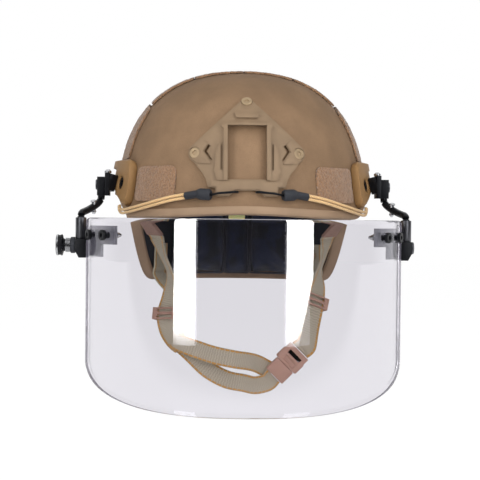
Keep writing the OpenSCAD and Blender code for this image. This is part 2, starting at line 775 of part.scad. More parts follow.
module clamp_screws() {
  color("#c9c9cc") both_sides() clamp_screw_place(clamp_top + pin_clearance) {
    cylinder(r = 3.2, h = 2);
    translate([0, 0, 1.9]) cylinder(r1 = 3, r2 = 1.6, h = 1.4);
    translate([0, 0, -5]) cylinder(r = clamp_screw_r, h = 6);
  }
}

// Arms. The lug swings on the pivot pin and the bar reaches forward to the hinge barrel.

block_in = visor_half_width + gap + 0.1;
block_w = 2 * barrel_r + 0.2;
block_out = block_in + block_w;
block_top = -tilt_axis_drop + 5.5;
barrel_x = block_in + block_w / 2;
barrel_front = tilt_axis_front + 1;
barrel_len_z = 19;
arm_end_z = block_top + 11.5;
cross_pin_r = 1.9;

// Point of the way from the swing axis (0) to the hinge barrel (1)
function reach(s, across, z) = [mix(lug_mid, barrel_x, across), -mix(swing_axis_front, barrel_front, s), z];
arm_route = [reach(0, 0, swing_axis_z - 6), reach(0.02, 0, swing_axis_z - 13), reach(0.18, 0.22, 7),
  reach(0.42, 0.62, 2.5), reach(0.7, 0.84, 0.4), reach(0.9, 0.97, -1), reach(1, 1, -4),
  reach(1, 1, arm_end_z)];

module arm() {
  color("#15161a") difference() {
    union() {
      translate([lug_in, -swing_axis_front - 7.5, swing_axis_z - clamp_drop])
        cube([lug_t, 15, 17]);
      tube(spline(arm_route, 22), arm_d, 12);
    }
    swing_axis(lug_in - 10) cylinder(r = pivot_pin_r + pin_clearance, h = 40);
    cross_pin_place() cylinder(r = cross_pin_r + pin_clearance, h = 40, center = true);
  }
}

module pivot_pins() {
  pin_in = clamp_block_in + 0.4;
  color("#8d8e92") both_sides() {
    swing_axis(pin_in) cylinder(r = pivot_pin_r, h = lug_out - pin_in);
    swing_axis(lug_out + 0.05) cylinder(r = pivot_pin_r + 1.6, h = 1.6);
    swing_axis(lug_out - 0.5) cylinder(r = pivot_pin_r, h = 1);
  }
}

module cross_pin_place() {
  translate(spline_pt(arm_route, 2.45)) rotate([20, 0, 0]) children();
}

module cross_pins() {
  head = arm_d / 2 + 1.2;
  color("#c9c9cc") both_sides() cross_pin_place() {
    translate([0, 0, -head]) cylinder(r = cross_pin_r, h = 2 * head);
    translate([0, 0, head - 0.1]) cylinder(r = 2.7, h = 1.6);
    translate([0, 0, -head - 2.6]) cylinder(r1 = 1.2, r2 = 2.6, h = 2.7);
  }
}

module hinge_barrel() {
  color("#7b7c80") difference() {
    translate([barrel_x, -barrel_front, block_top + 0.05]) cylinder(r = barrel_r, h = barrel_len_z);
    translate([barrel_x, -barrel_front, arm_end_z - gap - 0.3])
      cylinder(r = arm_d / 2 + gap, h = barrel_len_z);
  }
}

// Pivot blocks under the barrels

tilt_pin_r = 2.6;
block_half = 8.5;

module tilt_axis(x) {
  translate([x, -tilt_axis_front, -tilt_axis_drop]) rotate([0, 90, 0]) children();
}

module pivot_block() {
  low = -tilt_axis_drop - 11;
  color("#15161a") difference() {
    translate([0, -tilt_axis_front + block_half, 0]) rotate([90, 0, 0]) linear_extrude(2 * block_half)
      polygon([[block_in, block_top], [block_out, block_top], [block_out, low + 6.5],
        [block_out - 3.6, low], [block_in, low]]);
    tilt_axis(block_in - 5) cylinder(r = tilt_pin_r + pin_clearance, h = 30);
  }
}

module tilt_pin_left() {
  color("#8d8e92") {
    tilt_axis(ear_in) cylinder(r = tilt_pin_r, h = block_out - ear_in);
    tilt_axis(block_out + 0.05) cylinder(r = 5.4, h = 2.2);
    tilt_axis(block_out - 0.5) cylinder(r = tilt_pin_r, h = 1);
  }
}

// Index knob on the right side: it is pulled outwards to let the visor tilt

collar_len = 4;
neck_len = 4.8;
head_len = 7.6;
neck_r = 6.4;

module index_knob() {
  neck = block_out + collar_len + gap;
  head = neck + neck_len;
  color("#a9aaae") right_side() {
    tilt_axis(ear_in) cylinder(r = tilt_pin_r, h = neck + 1 - ear_in);
    tilt_axis(neck) cylinder(r = neck_r, h = neck_len);
    tilt_axis(head - 0.1) cylinder(r1 = neck_r, r2 = knob_r, h = 2.1);
    tilt_axis(head + 1.9) cylinder(r = knob_r, h = head_len - 2.9);
    tilt_axis(head + head_len - 1.1) cylinder(r1 = knob_r, r2 = knob_r - 1.2, h = 1.1);
  }
}

module knob_collar() {
  color("#15161a") right_side() difference() {
    tilt_axis(block_out + 0.05) cylinder(r = neck_r + 0.8, h = collar_len - 0.05);
    tilt_axis(block_out - 1) cylinder(r = tilt_pin_r + pin_clearance, h = 20);
  }
}

// Visor

visor_top = -visor_top_drop;
visor_inner = visor_radius - visor_thick;
visor_corner = 5;
visor_chin_power = 3.1;
bolt_angles = [visor_half_angle - 4, visor_half_angle - 14];
bolt_z = -20;

module visor_outline() {
  w = visor_half_width + 0.6;
  low = visor_top - visor_height;
  side = low + visor_chin_curve;
  e = 2 / visor_chin_power;
  polygon(concat(
    [for (k = [0:36]) let (a = 5 * k)
      [-w * sign(cos(a)) * pow(abs(cos(a)), e), side - visor_chin_curve * pow(sin(a), e)]],
    [for (k = [0:3]) let (a = 30 * k)
      [w - visor_corner + visor_corner * cos(a), visor_top - visor_corner + visor_corner * sin(a)]],
    [for (k = [3:6]) let (a = 30 * k)
      [-w + visor_corner + visor_corner * cos(a), visor_top - visor_corner + visor_corner * sin(a)]]));
}

// Stretch of the visor's cylinder, between two radii, two heights and two angles from the front
module visor_arc(r_in, r_out, z_lo, z_hi, a_from, a_to) {
  translate([0, visor_axis_y, 0]) rotate([0, 0, a_from - 90])
    rotate_extrude(angle = a_to - a_from, $fn = 96)
      translate([r_in, z_lo]) square([r_out - r_in, z_hi - z_lo]);
}

module bolt_places() {
  for (a = bolt_angles)
    translate([0, visor_axis_y, bolt_z]) rotate([0, 0, a - 90]) rotate([0, 90, 0]) children();
}

// Wedge seen from above that ends the visor at its two side edges
module visor_sector() {
  half = visor_half_angle;
  far = 2 * visor_radius;
  translate([0, visor_axis_y, visor_top - 2 * visor_height])
    linear_extrude(3 * visor_height)
      polygon([[0, 0], [-far * sin(half), -far * cos(half)], [-far * sin(half), -far],
        [far * sin(half), -far], [far * sin(half), -far * cos(half)]]);
}

module visor_ring() {
  translate([0, visor_axis_y, visor_top - visor_height - 1]) difference() {
    cylinder(r = visor_radius, h = visor_height + 2, $fn = 180);
    translate([0, 0, -1]) cylinder(r = visor_inner, h = visor_height + 4, $fn = 180);
  }
}

module visor() {
  color("#dfdde3", 0.35) difference() {
    intersection() {
      visor_ring();
      rotate([90, 0, 0]) linear_extrude(400) visor_outline();
      visor_sector();
    }
    both_sides() bolt_places() cylinder(r = visor_bolt_r + gap, h = 2 * visor_radius);
  }
}

// Brackets: a plate on the visor's inner face and an ear that turns on the tilt axis

plate_t = 3;
plate_low = -28;
plate_high = -12;
ear_out = block_in - gap - 0.2;
ear_in = ear_out - knob_pull - 4.3;
ear_r = 7;

// Point on a circle about the visor's axis, by the angle from the front
function arc_pt(r, a) = [r * sin(a), visor_axis_y - r * cos(a)];

module visor_bracket() {
  r_out = visor_inner - gap;
  r_in = r_out - plate_t;
  ear_low = -tilt_axis_drop - 9.5;
  end = visor_half_angle;
  color("#4b4c52") difference() {
    union() {
      visor_arc(r_in, r_out, plate_low, plate_high, end - 17.5, end);
      visor_arc(r_in + 0.4, r_out - 0.4, ear_low, plate_low + 2, end - 9, end - 0.4);
      translate([0, 0, ear_low]) linear_extrude(plate_high - 1 - ear_low)
        polygon([arc_pt(r_in, end - 1.8), arc_pt(r_out - 0.4, end - 0.3),
          arc_pt(r_out - 0.4, end + 0.15), [ear_out, -tilt_axis_front - ear_r],
          [ear_out, -tilt_axis_front + ear_r], [ear_in, -tilt_axis_front + ear_r]]);
    }
    tilt_axis(ear_in - 30) cylinder(r = tilt_pin_r + pin_clearance, h = 60);
    bolt_places() cylinder(r = visor_bolt_r + gap, h = 400);
  }
}

module visor_bolts() {
  color("#101114") both_sides() bolt_places() {
    translate([0, 0, visor_inner - 8]) cylinder(r = visor_bolt_r, h = visor_thick + 8.3);
    translate([0, 0, visor_radius + 0.05]) difference() {
      cylinder(r = 4.6, h = 3);
      translate([0, 0, 1.2]) cylinder(r = 2.2, h = 3, $fn = 6);
    }
    translate([0, 0, visor_radius - 0.5]) cylinder(r = visor_bolt_r, h = 1);
  }
}

module visor_nuts() {
  r_seat = visor_inner - gap - plate_t - 0.15;
  color("#c9c9cc") both_sides() bolt_places() difference() {
    union() {
      translate([0, 0, r_seat - 3.6]) cylinder(r = 4.2, h = 3.6, $fn = 6);
      translate([0, 0, r_seat - 8.5]) cylinder(r1 = 1.2, r2 = 3.4, h = 5);
    }
    translate([0, 0, visor_inner - 8.2]) cylinder(r = visor_bolt_r + pin_clearance, h = 20);
  }
}

// Chin strap. Points are chosen by hand; each has the direction of the strap's width.

// The closed buckle's middle and the direction of its long axis
buckle_place = [40.1, -64, -134.5];
buckle_dir = [sin(45), 0, cos(45)];
buckle_wall = 2;
tongue_w = 4.5;
tongue_out = 1.2;
socket_len = 0.55 * buckle_len;
tongue_len = socket_len - 5.6;
// Groove round the panel on the socket's face
buckle_panel_w = buckle_w - 9;
buckle_panel_h = socket_len - 12;
buckle_panel_deep = 0.8;

strap_screw_r = 2.2;
strap_screw_place = [131, -40];
strap_screw_seat = 1;
keeper_t = 2.6;

module strap_screw_places() {
  on_dome(strap_screw_place[0], strap_screw_place[1]) children();
}

module strap_screws() {
  inside = shell_wall + pad_gap + strap_t + gap;
  color("#8d7458") both_sides() strap_screw_places() {
    disc_screw(strap_screw_seat, 5, 1.8, strap_screw_r, strap_screw_seat + inside + 1, 1.6);
    translate([0, 0, -inside - nut_h]) cylinder(r = nut_r, h = nut_h);
  }
}

// Band whose last stretch, from the end of the route to the point last, is straight
module ended_band(route, across, steps, last, w) {
  band(concat(spline(route, steps), [last]), concat(spline(across, steps), [across[len(across) - 1]]),
    w, strap_t);
}

// Place, width, normal and direction of a band at a point of its route
function band_at(route, across, s) =
  let (dir = unit(spline_pt(route, s + 0.05) - spline_pt(route, s - 0.05)),
       a = spline_pt(across, s),
       side = unit(a - (a * dir) * dir))
  [spline_pt(route, s), side, cross(dir, side), dir];

module on_band(f) {
  multmatrix([[f[1][0], f[2][0], f[3][0], f[0][0]], [f[1][1], f[2][1], f[3][1], f[0][1]],
    [f[1][2], f[2][2], f[3][2], f[0][2]], [0, 0, 0, 1]]) children();
}

// How far inside the shell's outer face the middle of a strap of thickness t lies
function behind_shell(t) = shell_wall + pad_gap + t / 2;
function behind_trim(t) = shell_wall + gap / 2 + trim_wall + 4 * gap + t / 2;

// Tab on the inside of the temple, held by the rail's front screw; it takes the front strap
keeper_phi = rail_front_screw[0];
keeper_route = concat(
  [for (q = [[33, behind_shell(keeper_t)], [25, behind_shell(keeper_t)],
      [17, behind_shell(keeper_t) + 1], [10, behind_trim(keeper_t) + gap],
      [3, behind_trim(keeper_t) + gap]])
    dome_pt(keeper_phi, t_at(q[0]), -q[1])],
  [[90.5, -46, -5], [85, -40.6, -12.5], [80, -36, -20]]);
keeper_across = [for (p = keeper_route)
  dome_side(keeper_phi, t_at(max(0, p[2]))) + [0, 0, 0.016 * min(0, p[2])]];

module keeper() {
  color("#a67765") difference() {
    band(keeper_route, keeper_across, strap_w + 3, keeper_t);
    on_dome(keeper_phi, rail_front_screw[1]) cylinder(r = rail_screw_r + gap, h = 30, center = true);
  }
}

// The front strap starts straight below the keeper's end
keeper_dir = tangent(keeper_route, len(keeper_route) - 1);
keeper_side = let (a = keeper_across[len(keeper_across) - 1])
  unit(a - (a * keeper_dir) * keeper_dir);
keeper_end = keeper_route[len(keeper_route) - 1];
strap_top = [for (d = [0.6, 3.6]) keeper_end + d * keeper_dir];
function flip(p) = [-p[0], p[1], p[2]];

right_route = concat([flip(strap_top[1])], [[-73, -35, -38], [-66, -37, -56], [-65, -41, -76],
  [-69, -43.6, -92], [-67, -47, -104], [-62, -51, -112.4], [-57, -55.4, -117]]);
right_across = concat([flip(keeper_side)], [[-0.3, 1, -0.1], [-0.3, 1, 0], [-0.8, 0.6, 0],
  [-0.8, 0.5, -0.1], [-0.8, 0.4, -0.5], [-0.5, 0.1, -0.9], [-0.3, -0.1, -1]]);
right_end = [-55.6, -56, -117.6];
left_end = buckle_place + (buckle_len / 2 + 0.5) * buckle_dir;
left_route = concat([strap_top[1]], [[75.5, -35, -38], [71.5, -37, -52], [70, -40, -66],
  [66.5, -44, -81], [61.5, -53.5, -101], buckle_place + (buckle_len / 2 + 9) * buckle_dir,
  buckle_place + (buckle_len / 2 + 3) * buckle_dir]);
left_across = concat([keeper_side], [[0.3, 1, -0.1], [0.3, 1, 0], [0.7, 0.7, 0], [0.9, 0.4, -0.1],
  [0.8, 0.2, -0.4], [0.75, 0, -0.7], [0.7, 0, -0.7]]);
right_joint = band_at(right_route, right_across, 4);
left_joint = band_at(left_route, left_across, 3.9);

module front_strap(route, across, start, last) {
  color("#9b917c") band(concat([start], spline(route, 24), [last]),
    concat([across[0]], spline(across, 24), [across[len(across) - 1]]), strap_w, strap_t);
}

module front_strap_right() {
  front_strap(right_route, right_across, flip(strap_top[0]), right_end);
}

module front_strap_left() {
  front_strap(left_route, left_across, strap_top[0], left_end);
}

// Slide round the front strap where the rear strap joins it
slide_len = 11;
slide_t = strap_t + 5.8;

module adjuster(f) {
  color("#a67765") on_band(f) difference() {
    cube([strap_w + 6, slide_t, slide_len], center = true);
    cube([strap_w + 6 * gap, strap_t + 3.4, 2 * slide_len], center = true);
    for (s = [-1, 1]) translate([0, 0, s * 2.6]) cube([strap_w - 4, 2 * slide_t, 2.6], center = true);
  }
}

// The rear strap hangs from the shell's inside behind the ear and ends at the slide
function back_of(f) = f[2][1] > 0 ? f[2] : -f[2];
function rear_route(f, side, free) =
  let (end = f[0] + (slide_t / 2 + 0.8) * back_of(f))
  concat(
    [for (q = [[-30, behind_shell(strap_t)], [-38, behind_shell(strap_t)],
        [-46, behind_shell(strap_t) + 0.5], [-53, behind_trim(strap_t)], [-60, behind_trim(strap_t) + 0.6]])
      let (p = dome_pt(strap_screw_place[0], t_at(q[0]), -q[1]))
      [side * p[0], p[1], p[2]]],
    free, [end + 9 * back_of(f), end + 3 * back_of(f)]);
function rear_across(f, side) =
  let (a = dome_side(strap_screw_place[0], 100), level = [side * a[0], a[1], 0])
  [level, level, level, level, level, [-side * 0.75, 0.55, 0.3], [-side * 0.6, 0.4, 0.6],
   [-side * 0.4, 0.3, 0.9], [-side * 0.2, 0.2, 1], -f[3], -f[3]];

module rear_strap(f, side, free) {
  difference() {
    ended_band(rear_route(f, side, free), rear_across(f, side), 26,
      f[0] + (slide_t / 2 + 0.8) * back_of(f), strap_w);
    on_side(side) strap_screw_places() cylinder(r = strap_screw_r + gap, h = 30, center = true);
  }
}

module on_side(side) {
  mirror([side > 0 ? 0 : 1, 0, 0]) children();
}

module rear_strap_right() {
  color("#9b917c") rear_strap(right_joint, -1,
    [[-73, 76, -67], [-62, 62, -75], [-53, 38, -83], [-56, 4, -90]]);
}

module rear_strap_left() {
  color("#9b917c") rear_strap(left_joint, 1,
    [[73, 76, -66], [62, 60, -71], [52, 34, -75], [52, 2, -78]]);
}

// Chin cup: two webbing bands, one over the chin and one under it, joined at both ends
module chin_cup() {
  plug_end = buckle_place - (buckle_len / 2 + 0.5) * buckle_dir;
  behind = buckle_t / 2 - 0.5 + 2 * gap + strap_t / 2;
  upper = [[-54, -56.4, -118], [-40, -62, -123], [-24, -66, -127.6], [-6, -68, -131],
    [6, -64.5, -133], [15, -60, -136], buckle_place + [-13, behind, -8]];
  lower = [[-54, -55.6, -119.4], [-43, -57, -129.5], [-30, -58, -142], [-14, -59, -151],
    [2, -60.5, -154], [12, -62.5, -155.4], plug_end - 8 * buckle_dir, plug_end - 2 * buckle_dir];
  color("#9b917c") {
    band(spline(upper, 16), spline([[0.3, 0.1, 1], [0.3, 0.1, 1], [0.2, 0, 1], [0.1, 0, 1],
      [0, 0, 1], [0, 0, 1], [0, 0, 1]], 16), cup_band_w, strap_t);
    ended_band(lower, [[0.3, 0.1, 1], [0.3, 0.1, 1], [0.2, 0, 1], [0.1, 0, 1], [0, 0, 1],
      [-0.3, 0, 1], [-0.6, 0, 0.75], [-0.7, 0, 0.7]], 18, plug_end, cup_band_w);
  }
}

// Side-release buckle. Its long axis leans 45 degrees; the socket is the upper half.

module buckle_frame() {
  translate(buckle_place) rotate([0, 45, 0]) children();
}

module buckle_socket() {
  color("#a67765") buckle_frame() difference() {
    translate([-buckle_w / 2, -buckle_t / 2, buckle_len / 2 - socket_len])
      cube([buckle_w, buckle_t, socket_len]);
    translate([-buckle_w / 2 - 1, -buckle_t / 2 + buckle_wall, buckle_len / 2 - socket_len - 1])
      cube([buckle_w + 2, buckle_t - 2 * buckle_wall, socket_len - 3]);
    translate([-buckle_w / 2 + 4, -buckle_t, buckle_len / 2 - 8])
      cube([buckle_w - 8, 2 * buckle_t, 3.6]);
    translate([0, buckle_panel_deep - buckle_t / 2, buckle_len / 2 - 10 - buckle_panel_h])
      rotate([90, 0, 0]) linear_extrude(buckle_panel_deep + 1) difference() {
        translate([-buckle_panel_w / 2, 0]) square([buckle_panel_w, buckle_panel_h]);
        translate([1.1 - buckle_panel_w / 2, 1.1]) square([buckle_panel_w - 2.2, buckle_panel_h - 2.2]);
      }
  }
}

module buckle_plug() {
  base = -buckle_len / 2;
  guide = buckle_w / 2 + tongue_out - tongue_w - tongue_travel - 2 * gap;
  color("#a67765") buckle_frame() {
    translate([-buckle_w / 2 + 1, -buckle_t / 2 + 0.5, base])
      cube([buckle_w - 2, buckle_t - 1, buckle_len - socket_len - gap]);
    translate([-guide, -1.6, base + 2]) cube([2 * guide, 3.2, buckle_len - 8]);
  }
}

// Tongues at the buckle's two sides: squeezed towards the middle they let the plug go
module release_tongue(side) {
  color("#9a6c5b") buckle_frame()
    translate([side > 0 ? buckle_w / 2 + tongue_out - tongue_w : -buckle_w / 2 - tongue_out,
      -buckle_t / 2 + buckle_wall + gap, buckle_len / 2 - socket_len + gap])
      cube([tongue_w, buckle_t - 2 * buckle_wall - 2 * gap, tongue_len - 1]);
}

shell();
edge_trim();
front_shroud();
shroud_screws();
rail();  // rail_left
right_side() rail();  // rail_right
rail_screws();
bungee();  // bungee_left
right_side() bungee();  // bungee_right
bungee_end();  // bungee_end_left
right_side() bungee_end();  // bungee_end_right
hook();  // hook_left
right_side() hook();  // hook_right
front_patch();  // front_patch_left
right_side() front_patch();  // front_patch_right
side_patch();  // side_patch_left
right_side() side_patch();  // side_patch_right
crown_patches();
rear_patch();
front_pad();
crown_pad();
rear_pad();  // rear_pad_left
right_side() rear_pad();  // rear_pad_right
nape_pad();
side_pad();  // side_pad_left
right_side() side_pad();  // side_pad_right
pad_tab();
rail_clamp();  // rail_clamp_left
right_side() rail_clamp();  // rail_clamp_right
clamp_screws();
arm();  // arm_left
right_side() arm();  // arm_right
pivot_pins();
cross_pins();
hinge_barrel();  // hinge_barrel_left
right_side() hinge_barrel();  // hinge_barrel_right
pivot_block();  // pivot_block_left
right_side() pivot_block();  // pivot_block_right
tilt_pin_left();
index_knob();
knob_collar();
visor();
visor_bracket();  // visor_bracket_left
right_side() visor_bracket();  // visor_bracket_right
visor_bolts();
visor_nuts();
front_strap_left();
front_strap_right();
rear_strap_left();
rear_strap_right();
keeper();  // keeper_left
right_side() keeper();  // keeper_right
adjuster(left_joint);  // adjuster_left
adjuster(right_joint);  // adjuster_right
chin_cup();
buckle_socket();
buckle_plug();
release_tongue(-1);  // release_tongue_upper
release_tongue(1);  // release_tongue_lower
strap_screws();
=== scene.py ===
"""Looks of the ballistic helmet: finishes, webbing, padding and clear visor on the CAD frame."""
import json
import math

import bpy
import numpy as np
from bpy.props import FloatProperty, FloatVectorProperty, IntProperty, PointerProperty
from bpy.types import Operator, Panel, PropertyGroup
from mathutils import Matrix, Vector

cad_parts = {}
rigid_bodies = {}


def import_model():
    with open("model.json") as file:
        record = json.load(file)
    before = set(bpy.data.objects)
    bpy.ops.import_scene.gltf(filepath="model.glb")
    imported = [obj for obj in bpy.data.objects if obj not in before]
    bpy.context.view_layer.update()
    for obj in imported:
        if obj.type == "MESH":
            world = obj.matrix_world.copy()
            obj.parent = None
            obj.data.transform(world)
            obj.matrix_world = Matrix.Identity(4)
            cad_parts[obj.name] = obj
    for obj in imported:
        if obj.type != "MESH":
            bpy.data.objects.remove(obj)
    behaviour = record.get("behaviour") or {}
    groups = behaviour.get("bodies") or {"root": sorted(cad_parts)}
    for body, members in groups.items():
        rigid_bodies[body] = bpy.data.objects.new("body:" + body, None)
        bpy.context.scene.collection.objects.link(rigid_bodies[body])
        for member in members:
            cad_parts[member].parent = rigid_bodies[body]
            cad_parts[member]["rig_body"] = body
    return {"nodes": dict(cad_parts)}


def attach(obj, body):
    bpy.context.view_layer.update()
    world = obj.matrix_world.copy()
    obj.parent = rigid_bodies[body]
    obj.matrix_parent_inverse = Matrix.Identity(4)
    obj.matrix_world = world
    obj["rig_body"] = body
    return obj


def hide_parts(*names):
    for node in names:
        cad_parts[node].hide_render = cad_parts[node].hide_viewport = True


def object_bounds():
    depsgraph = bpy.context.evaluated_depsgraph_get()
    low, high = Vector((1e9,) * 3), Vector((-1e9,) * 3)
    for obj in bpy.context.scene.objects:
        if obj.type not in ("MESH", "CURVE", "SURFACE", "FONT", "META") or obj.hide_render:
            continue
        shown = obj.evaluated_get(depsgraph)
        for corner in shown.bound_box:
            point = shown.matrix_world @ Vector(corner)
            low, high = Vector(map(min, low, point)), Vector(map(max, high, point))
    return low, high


bl_info = {
    "name": "Ballistic helmet",
    "version": (1, 0, 0),
    "blender": (4, 5, 0),
    "location": "3D View > Sidebar > Helmet",
    "description": "Adds the pieces and finishes of a ballistic helmet with a clear face visor",
    "category": "Add Mesh",
}

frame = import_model()
cad_box = [list(corner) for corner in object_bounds()]

MM = 0.001
WELD = 2e-6  # metres, below which two points become one
SIDES = {"left": np.array([1, 1, 1]), "right": np.array([-1, 1, 1])}

# Sizes of the shell that its patches, pads and straps follow, in millimetres
HALF_WIDTH, HALF_LENGTH, HEIGHT, WALL = 114.5, 136.0, 130.5, 8.5
ROUNDNESS = 2.5
BRIM_FLARE, NAPE_FLARE, FLARE_BAND = 3.0, 6.0, 12.0
EAR_CUT_RISE, NAPE_DROP, TEMPLE_DIP = 17.0, 65.0, 3.0
EAR_RISE_START, EAR_RISE_SPAN, NAPE_FALL_START, NAPE_FALL_SPAN = 58, 20, 104, 27
DROP_RATE = 3.0
GAP, SEAT_GAP, PAD_GAP = 0.3, 0.5, 0.9
TRIM_WALL, TRIM_LAP, TRIM_ROUND = 1.6, 6.0, 1.8


def tint(code):
    """A web colour in the linear numbers that shaders use."""
    parts = [int(code[i:i + 2], 16) / 255 for i in (0, 2, 4)]
    return tuple(p / 12.92 if p <= 0.04045 else ((p + 0.055) / 1.055) ** 2.4 for p in parts)


def colour(name, description, code):
    """A colour that the user may change."""
    return FloatVectorProperty(name=name, description=description, subtype="COLOR", size=3,
                               min=0, max=1, default=tint(code))


def number(name, description, default, high, low=0, **more):
    """A number that the user may change."""
    return FloatProperty(name=name, description=description, default=default, min=low, max=high,
                         **more)


def measure(name, description, default, high, low=0):
    """A length in metres that the user may change."""
    return number(name, description, default, high, low, unit="LENGTH")


def angle(name, description, degrees):
    """An angle that the user may change."""
    return number(name, description, math.radians(degrees), math.pi, -math.pi, subtype="ANGLE")


class HelmetColours(PropertyGroup):
    """Colours of the helmet's finishes."""

    paint: colour("Shell paint", "Textured paint of the shell", "866C53")
    trim: colour("Edge trim", "Rubber trim round the rim", "9A8168")
    shroud: colour("Shroud", "Moulded front shroud", "806B54")
    rail: colour("Rails", "Moulded side rails", "8D6C45")
    screws: colour("Tan screws", "Painted screws of the shroud and the chin strap", "A08A6C")
    loop: colour("Loop fabric", "Pile of the loop patches", "957152")
    cord: colour("Bungee", "Braid of the bungee cords", "DFB882")
    pad: colour("Padding", "Cloth of the pads", "182038")
    # inner: a dark colour painted on the shell's inner faces as shade inside the shell
    inner: colour("Inner coat", "Coat inside the shell", "22242B")
    seam: colour("Pad binding", "Binding round the pads", "4A4B52")
    tab: colour("Pad tab", "Soft translucent tab of the front pad", "C9C98A")
    webbing: colour("Webbing", "Yarn of the chin strap", "C5BCA1")
    stitch: colour("Stitching", "Thread along the edges of the webbing", "D29C48")
    keeper: colour("Keepers", "Coated tabs at the temples", "A88674")
    buckle: colour("Buckle", "Moulded buckle and slides", "BF9983")
    # The index knob's cap ring and neck ridges also take bright steel, there as painted highlights
    steel: colour("Bright steel", "Plated screws, caps and pins", "C9CACD")
    grey: colour("Grey steel", "Hinge barrels and pins", "6C6D72")
    bracket: colour("Brackets", "Coated brackets of the visor", "8E8F94")
    black: colour("Black parts", "Black plastic and coated metal", "131417")
    visor: colour("Visor", "What the clear visor lets through", "E4E2E8")
    visor_edge: colour("Visor edge", "Polished edge of the visor", "8E8A96")


class HelmetSizes(PropertyGroup):
    """Sizes of the details that the finishes and soft pieces add."""

    edge_break: measure("Edge break", "Rounding of moulded and machined edges", 0.0004, 0.002)
    pile_height: measure("Pile height", "How far the loop pile stands up", 0.0011, 0.003)
    pad_swell: measure("Pad swell", "Furthest that the stuffing moves a pad's cloth", 0.0028, 0.006)
    weave_pitch: measure("Weave pitch", "Length of one rib of the webbing", 0.0018, 0.004, 0.0005)
    stitch_pitch: measure("Stitch pitch", "Length of one stitch", 0.0034, 0.008, 0.001)
    knob_ribs: IntProperty(name="Knob ribs", description="Ribs round the head of the index knob",
                           default=22, min=8, max=40)


class HelmetStudio(PropertyGroup):
    """Camera and lights. Powers are in watts."""

    distance: measure("Camera distance", "From the camera to the head's middle", 1.3, 4, 0.6)
    turn: angle("Camera turn", "Camera's place round the helmet", -2.0)
    roll: angle("Camera roll", "How far the camera leans", 0.6)
    lens: number("Focal length", "Focal length in millimetres", 103, 300, 30)
    key: number("Key light", "Power of the light above the camera", 2.5, 1000)
    fill: number("Fill light", "Power of the soft light behind the camera", 8, 1000)
    strips: number("Strip lights", "Power of each upright strip light", 3.4, 1000)
    ambient: number("Ambient light", "Brightness of the room on the helmet", 0.34, 2)
    dim: number("Mirrored room", "Brightness of the dim front of the room in mirrors", 0.06, 1)


# Shape of the dome. Angles are in degrees and lengths in millimetres, and all may be arrays.


def smooth(x):
    x = np.clip(x, 0, 1)
    return x * x * (3 - 2 * x)


def sine(degrees):
    return np.sin(np.radians(degrees))


def cosine(degrees):
    return np.cos(np.radians(degrees))


def mix(a, b, share):
    return a + (b - a) * share


def from_front(phi):
    turned = np.mod(phi, 360)
    return np.where(turned > 180, 360 - turned, turned)


def rim_z(phi):
    """Height of the rim at an angle from the front."""
    a = from_front(phi)
    return (-TEMPLE_DIP * smooth(a / 45)
            + (EAR_CUT_RISE + TEMPLE_DIP) * smooth((a - EAR_RISE_START) / EAR_RISE_SPAN)
            - (EAR_CUT_RISE + NAPE_DROP) * smooth((a - NAPE_FALL_START) / NAPE_FALL_SPAN))


def t_at(z):
    """Angle along the dome's curve, 0 at the crown and 90 at the widest line."""
    z = np.asarray(z, float)
    share = np.clip(z / HEIGHT, 0, 1) ** (ROUNDNESS / 2)
    return np.where(z >= 0, np.degrees(np.arccos(share)), 90 - z / DROP_RATE)


def dome(phi, t, d):
    """Points that lie d outside the shell's outer face."""
    phi, t, d = np.broadcast_arrays(*(np.asarray(part, float) for part in (phi, t, d)))
    above = np.minimum(t, 90)
    rho = np.where(t < 90, sine(above) ** (2 / ROUNDNESS), 1)
    rise = (HEIGHT + d) * np.clip(cosine(above), 0, 1) ** (2 / ROUNDNESS)
    flare = (mix(BRIM_FLARE, NAPE_FLARE, smooth((from_front(phi) - 90) / 60))
             * smooth((t - t_at(rim_z(phi)) + FLARE_BAND) / FLARE_BAND) ** 2)
    return np.stack([((HALF_WIDTH + d) * rho + flare) * sine(phi),
                     -((HALF_LENGTH + d) * rho + flare) * cosine(phi),
                     np.where(t < 90, rise, -(t - 90) * DROP_RATE)], axis=-1)


def crown(x, y, d):
    """Points of the dome above places in plan."""
    r = np.sqrt((x / (HALF_WIDTH + d)) ** 2 + (y / (HALF_LENGTH + d)) ** 2)
    top = (HEIGHT + d) * np.clip(1 - r ** ROUNDNESS, 0, 1) ** (1 / ROUNDNESS)
    return np.stack([x + 0 * top, y + 0 * top, top], axis=-1)


def beside(phi, x):
    """Height at which the dome is x away from its middle plane."""
    rho = np.clip(x / (HALF_WIDTH * sine(phi)), 0, 1)
    return HEIGHT * cosine(np.degrees(np.arcsin(rho ** (ROUNDNESS / 2)))) ** (2 / ROUNDNESS)


def unit(v):
    v = np.asarray(v, float)
    return v / np.maximum(np.linalg.norm(v, axis=-1, keepdims=True), 1e-12)


def dome_side(phi, t):
    """Level direction along the dome."""
    return unit(dome(phi + 1, t, 0) - dome(phi - 1, t, 0))


def spline(points, s):
    """Points of a smooth curve through a few points, at shares s from 0 to 1."""
    p = np.asarray(points, float)
    at = np.asarray(s, float) * (len(p) - 1)
    i = np.clip(np.floor(at).astype(int), 0, len(p) - 2)
    u = (at - i)[..., None]
    a, b, c, e = p[np.maximum(0, i - 1)], p[i], p[i + 1], p[np.minimum(len(p) - 1, i + 2)]
    return 0.5 * (2 * b + (c - a) * u + (2 * a - 5 * b + 4 * c - e) * u ** 2
                  + (3 * b - a - 3 * c + e) * u ** 3)


# Modelling


def only(*objects):
    """Leaves object mode with just these objects selected."""
    if bpy.context.object and bpy.context.object.mode != "OBJECT":
        bpy.ops.object.mode_set(mode="OBJECT")
    bpy.ops.object.select_all(action="DESELECT")
    for each in objects:
        each.select_set(True)
    if objects:
        bpy.context.view_layer.objects.active = objects[0]


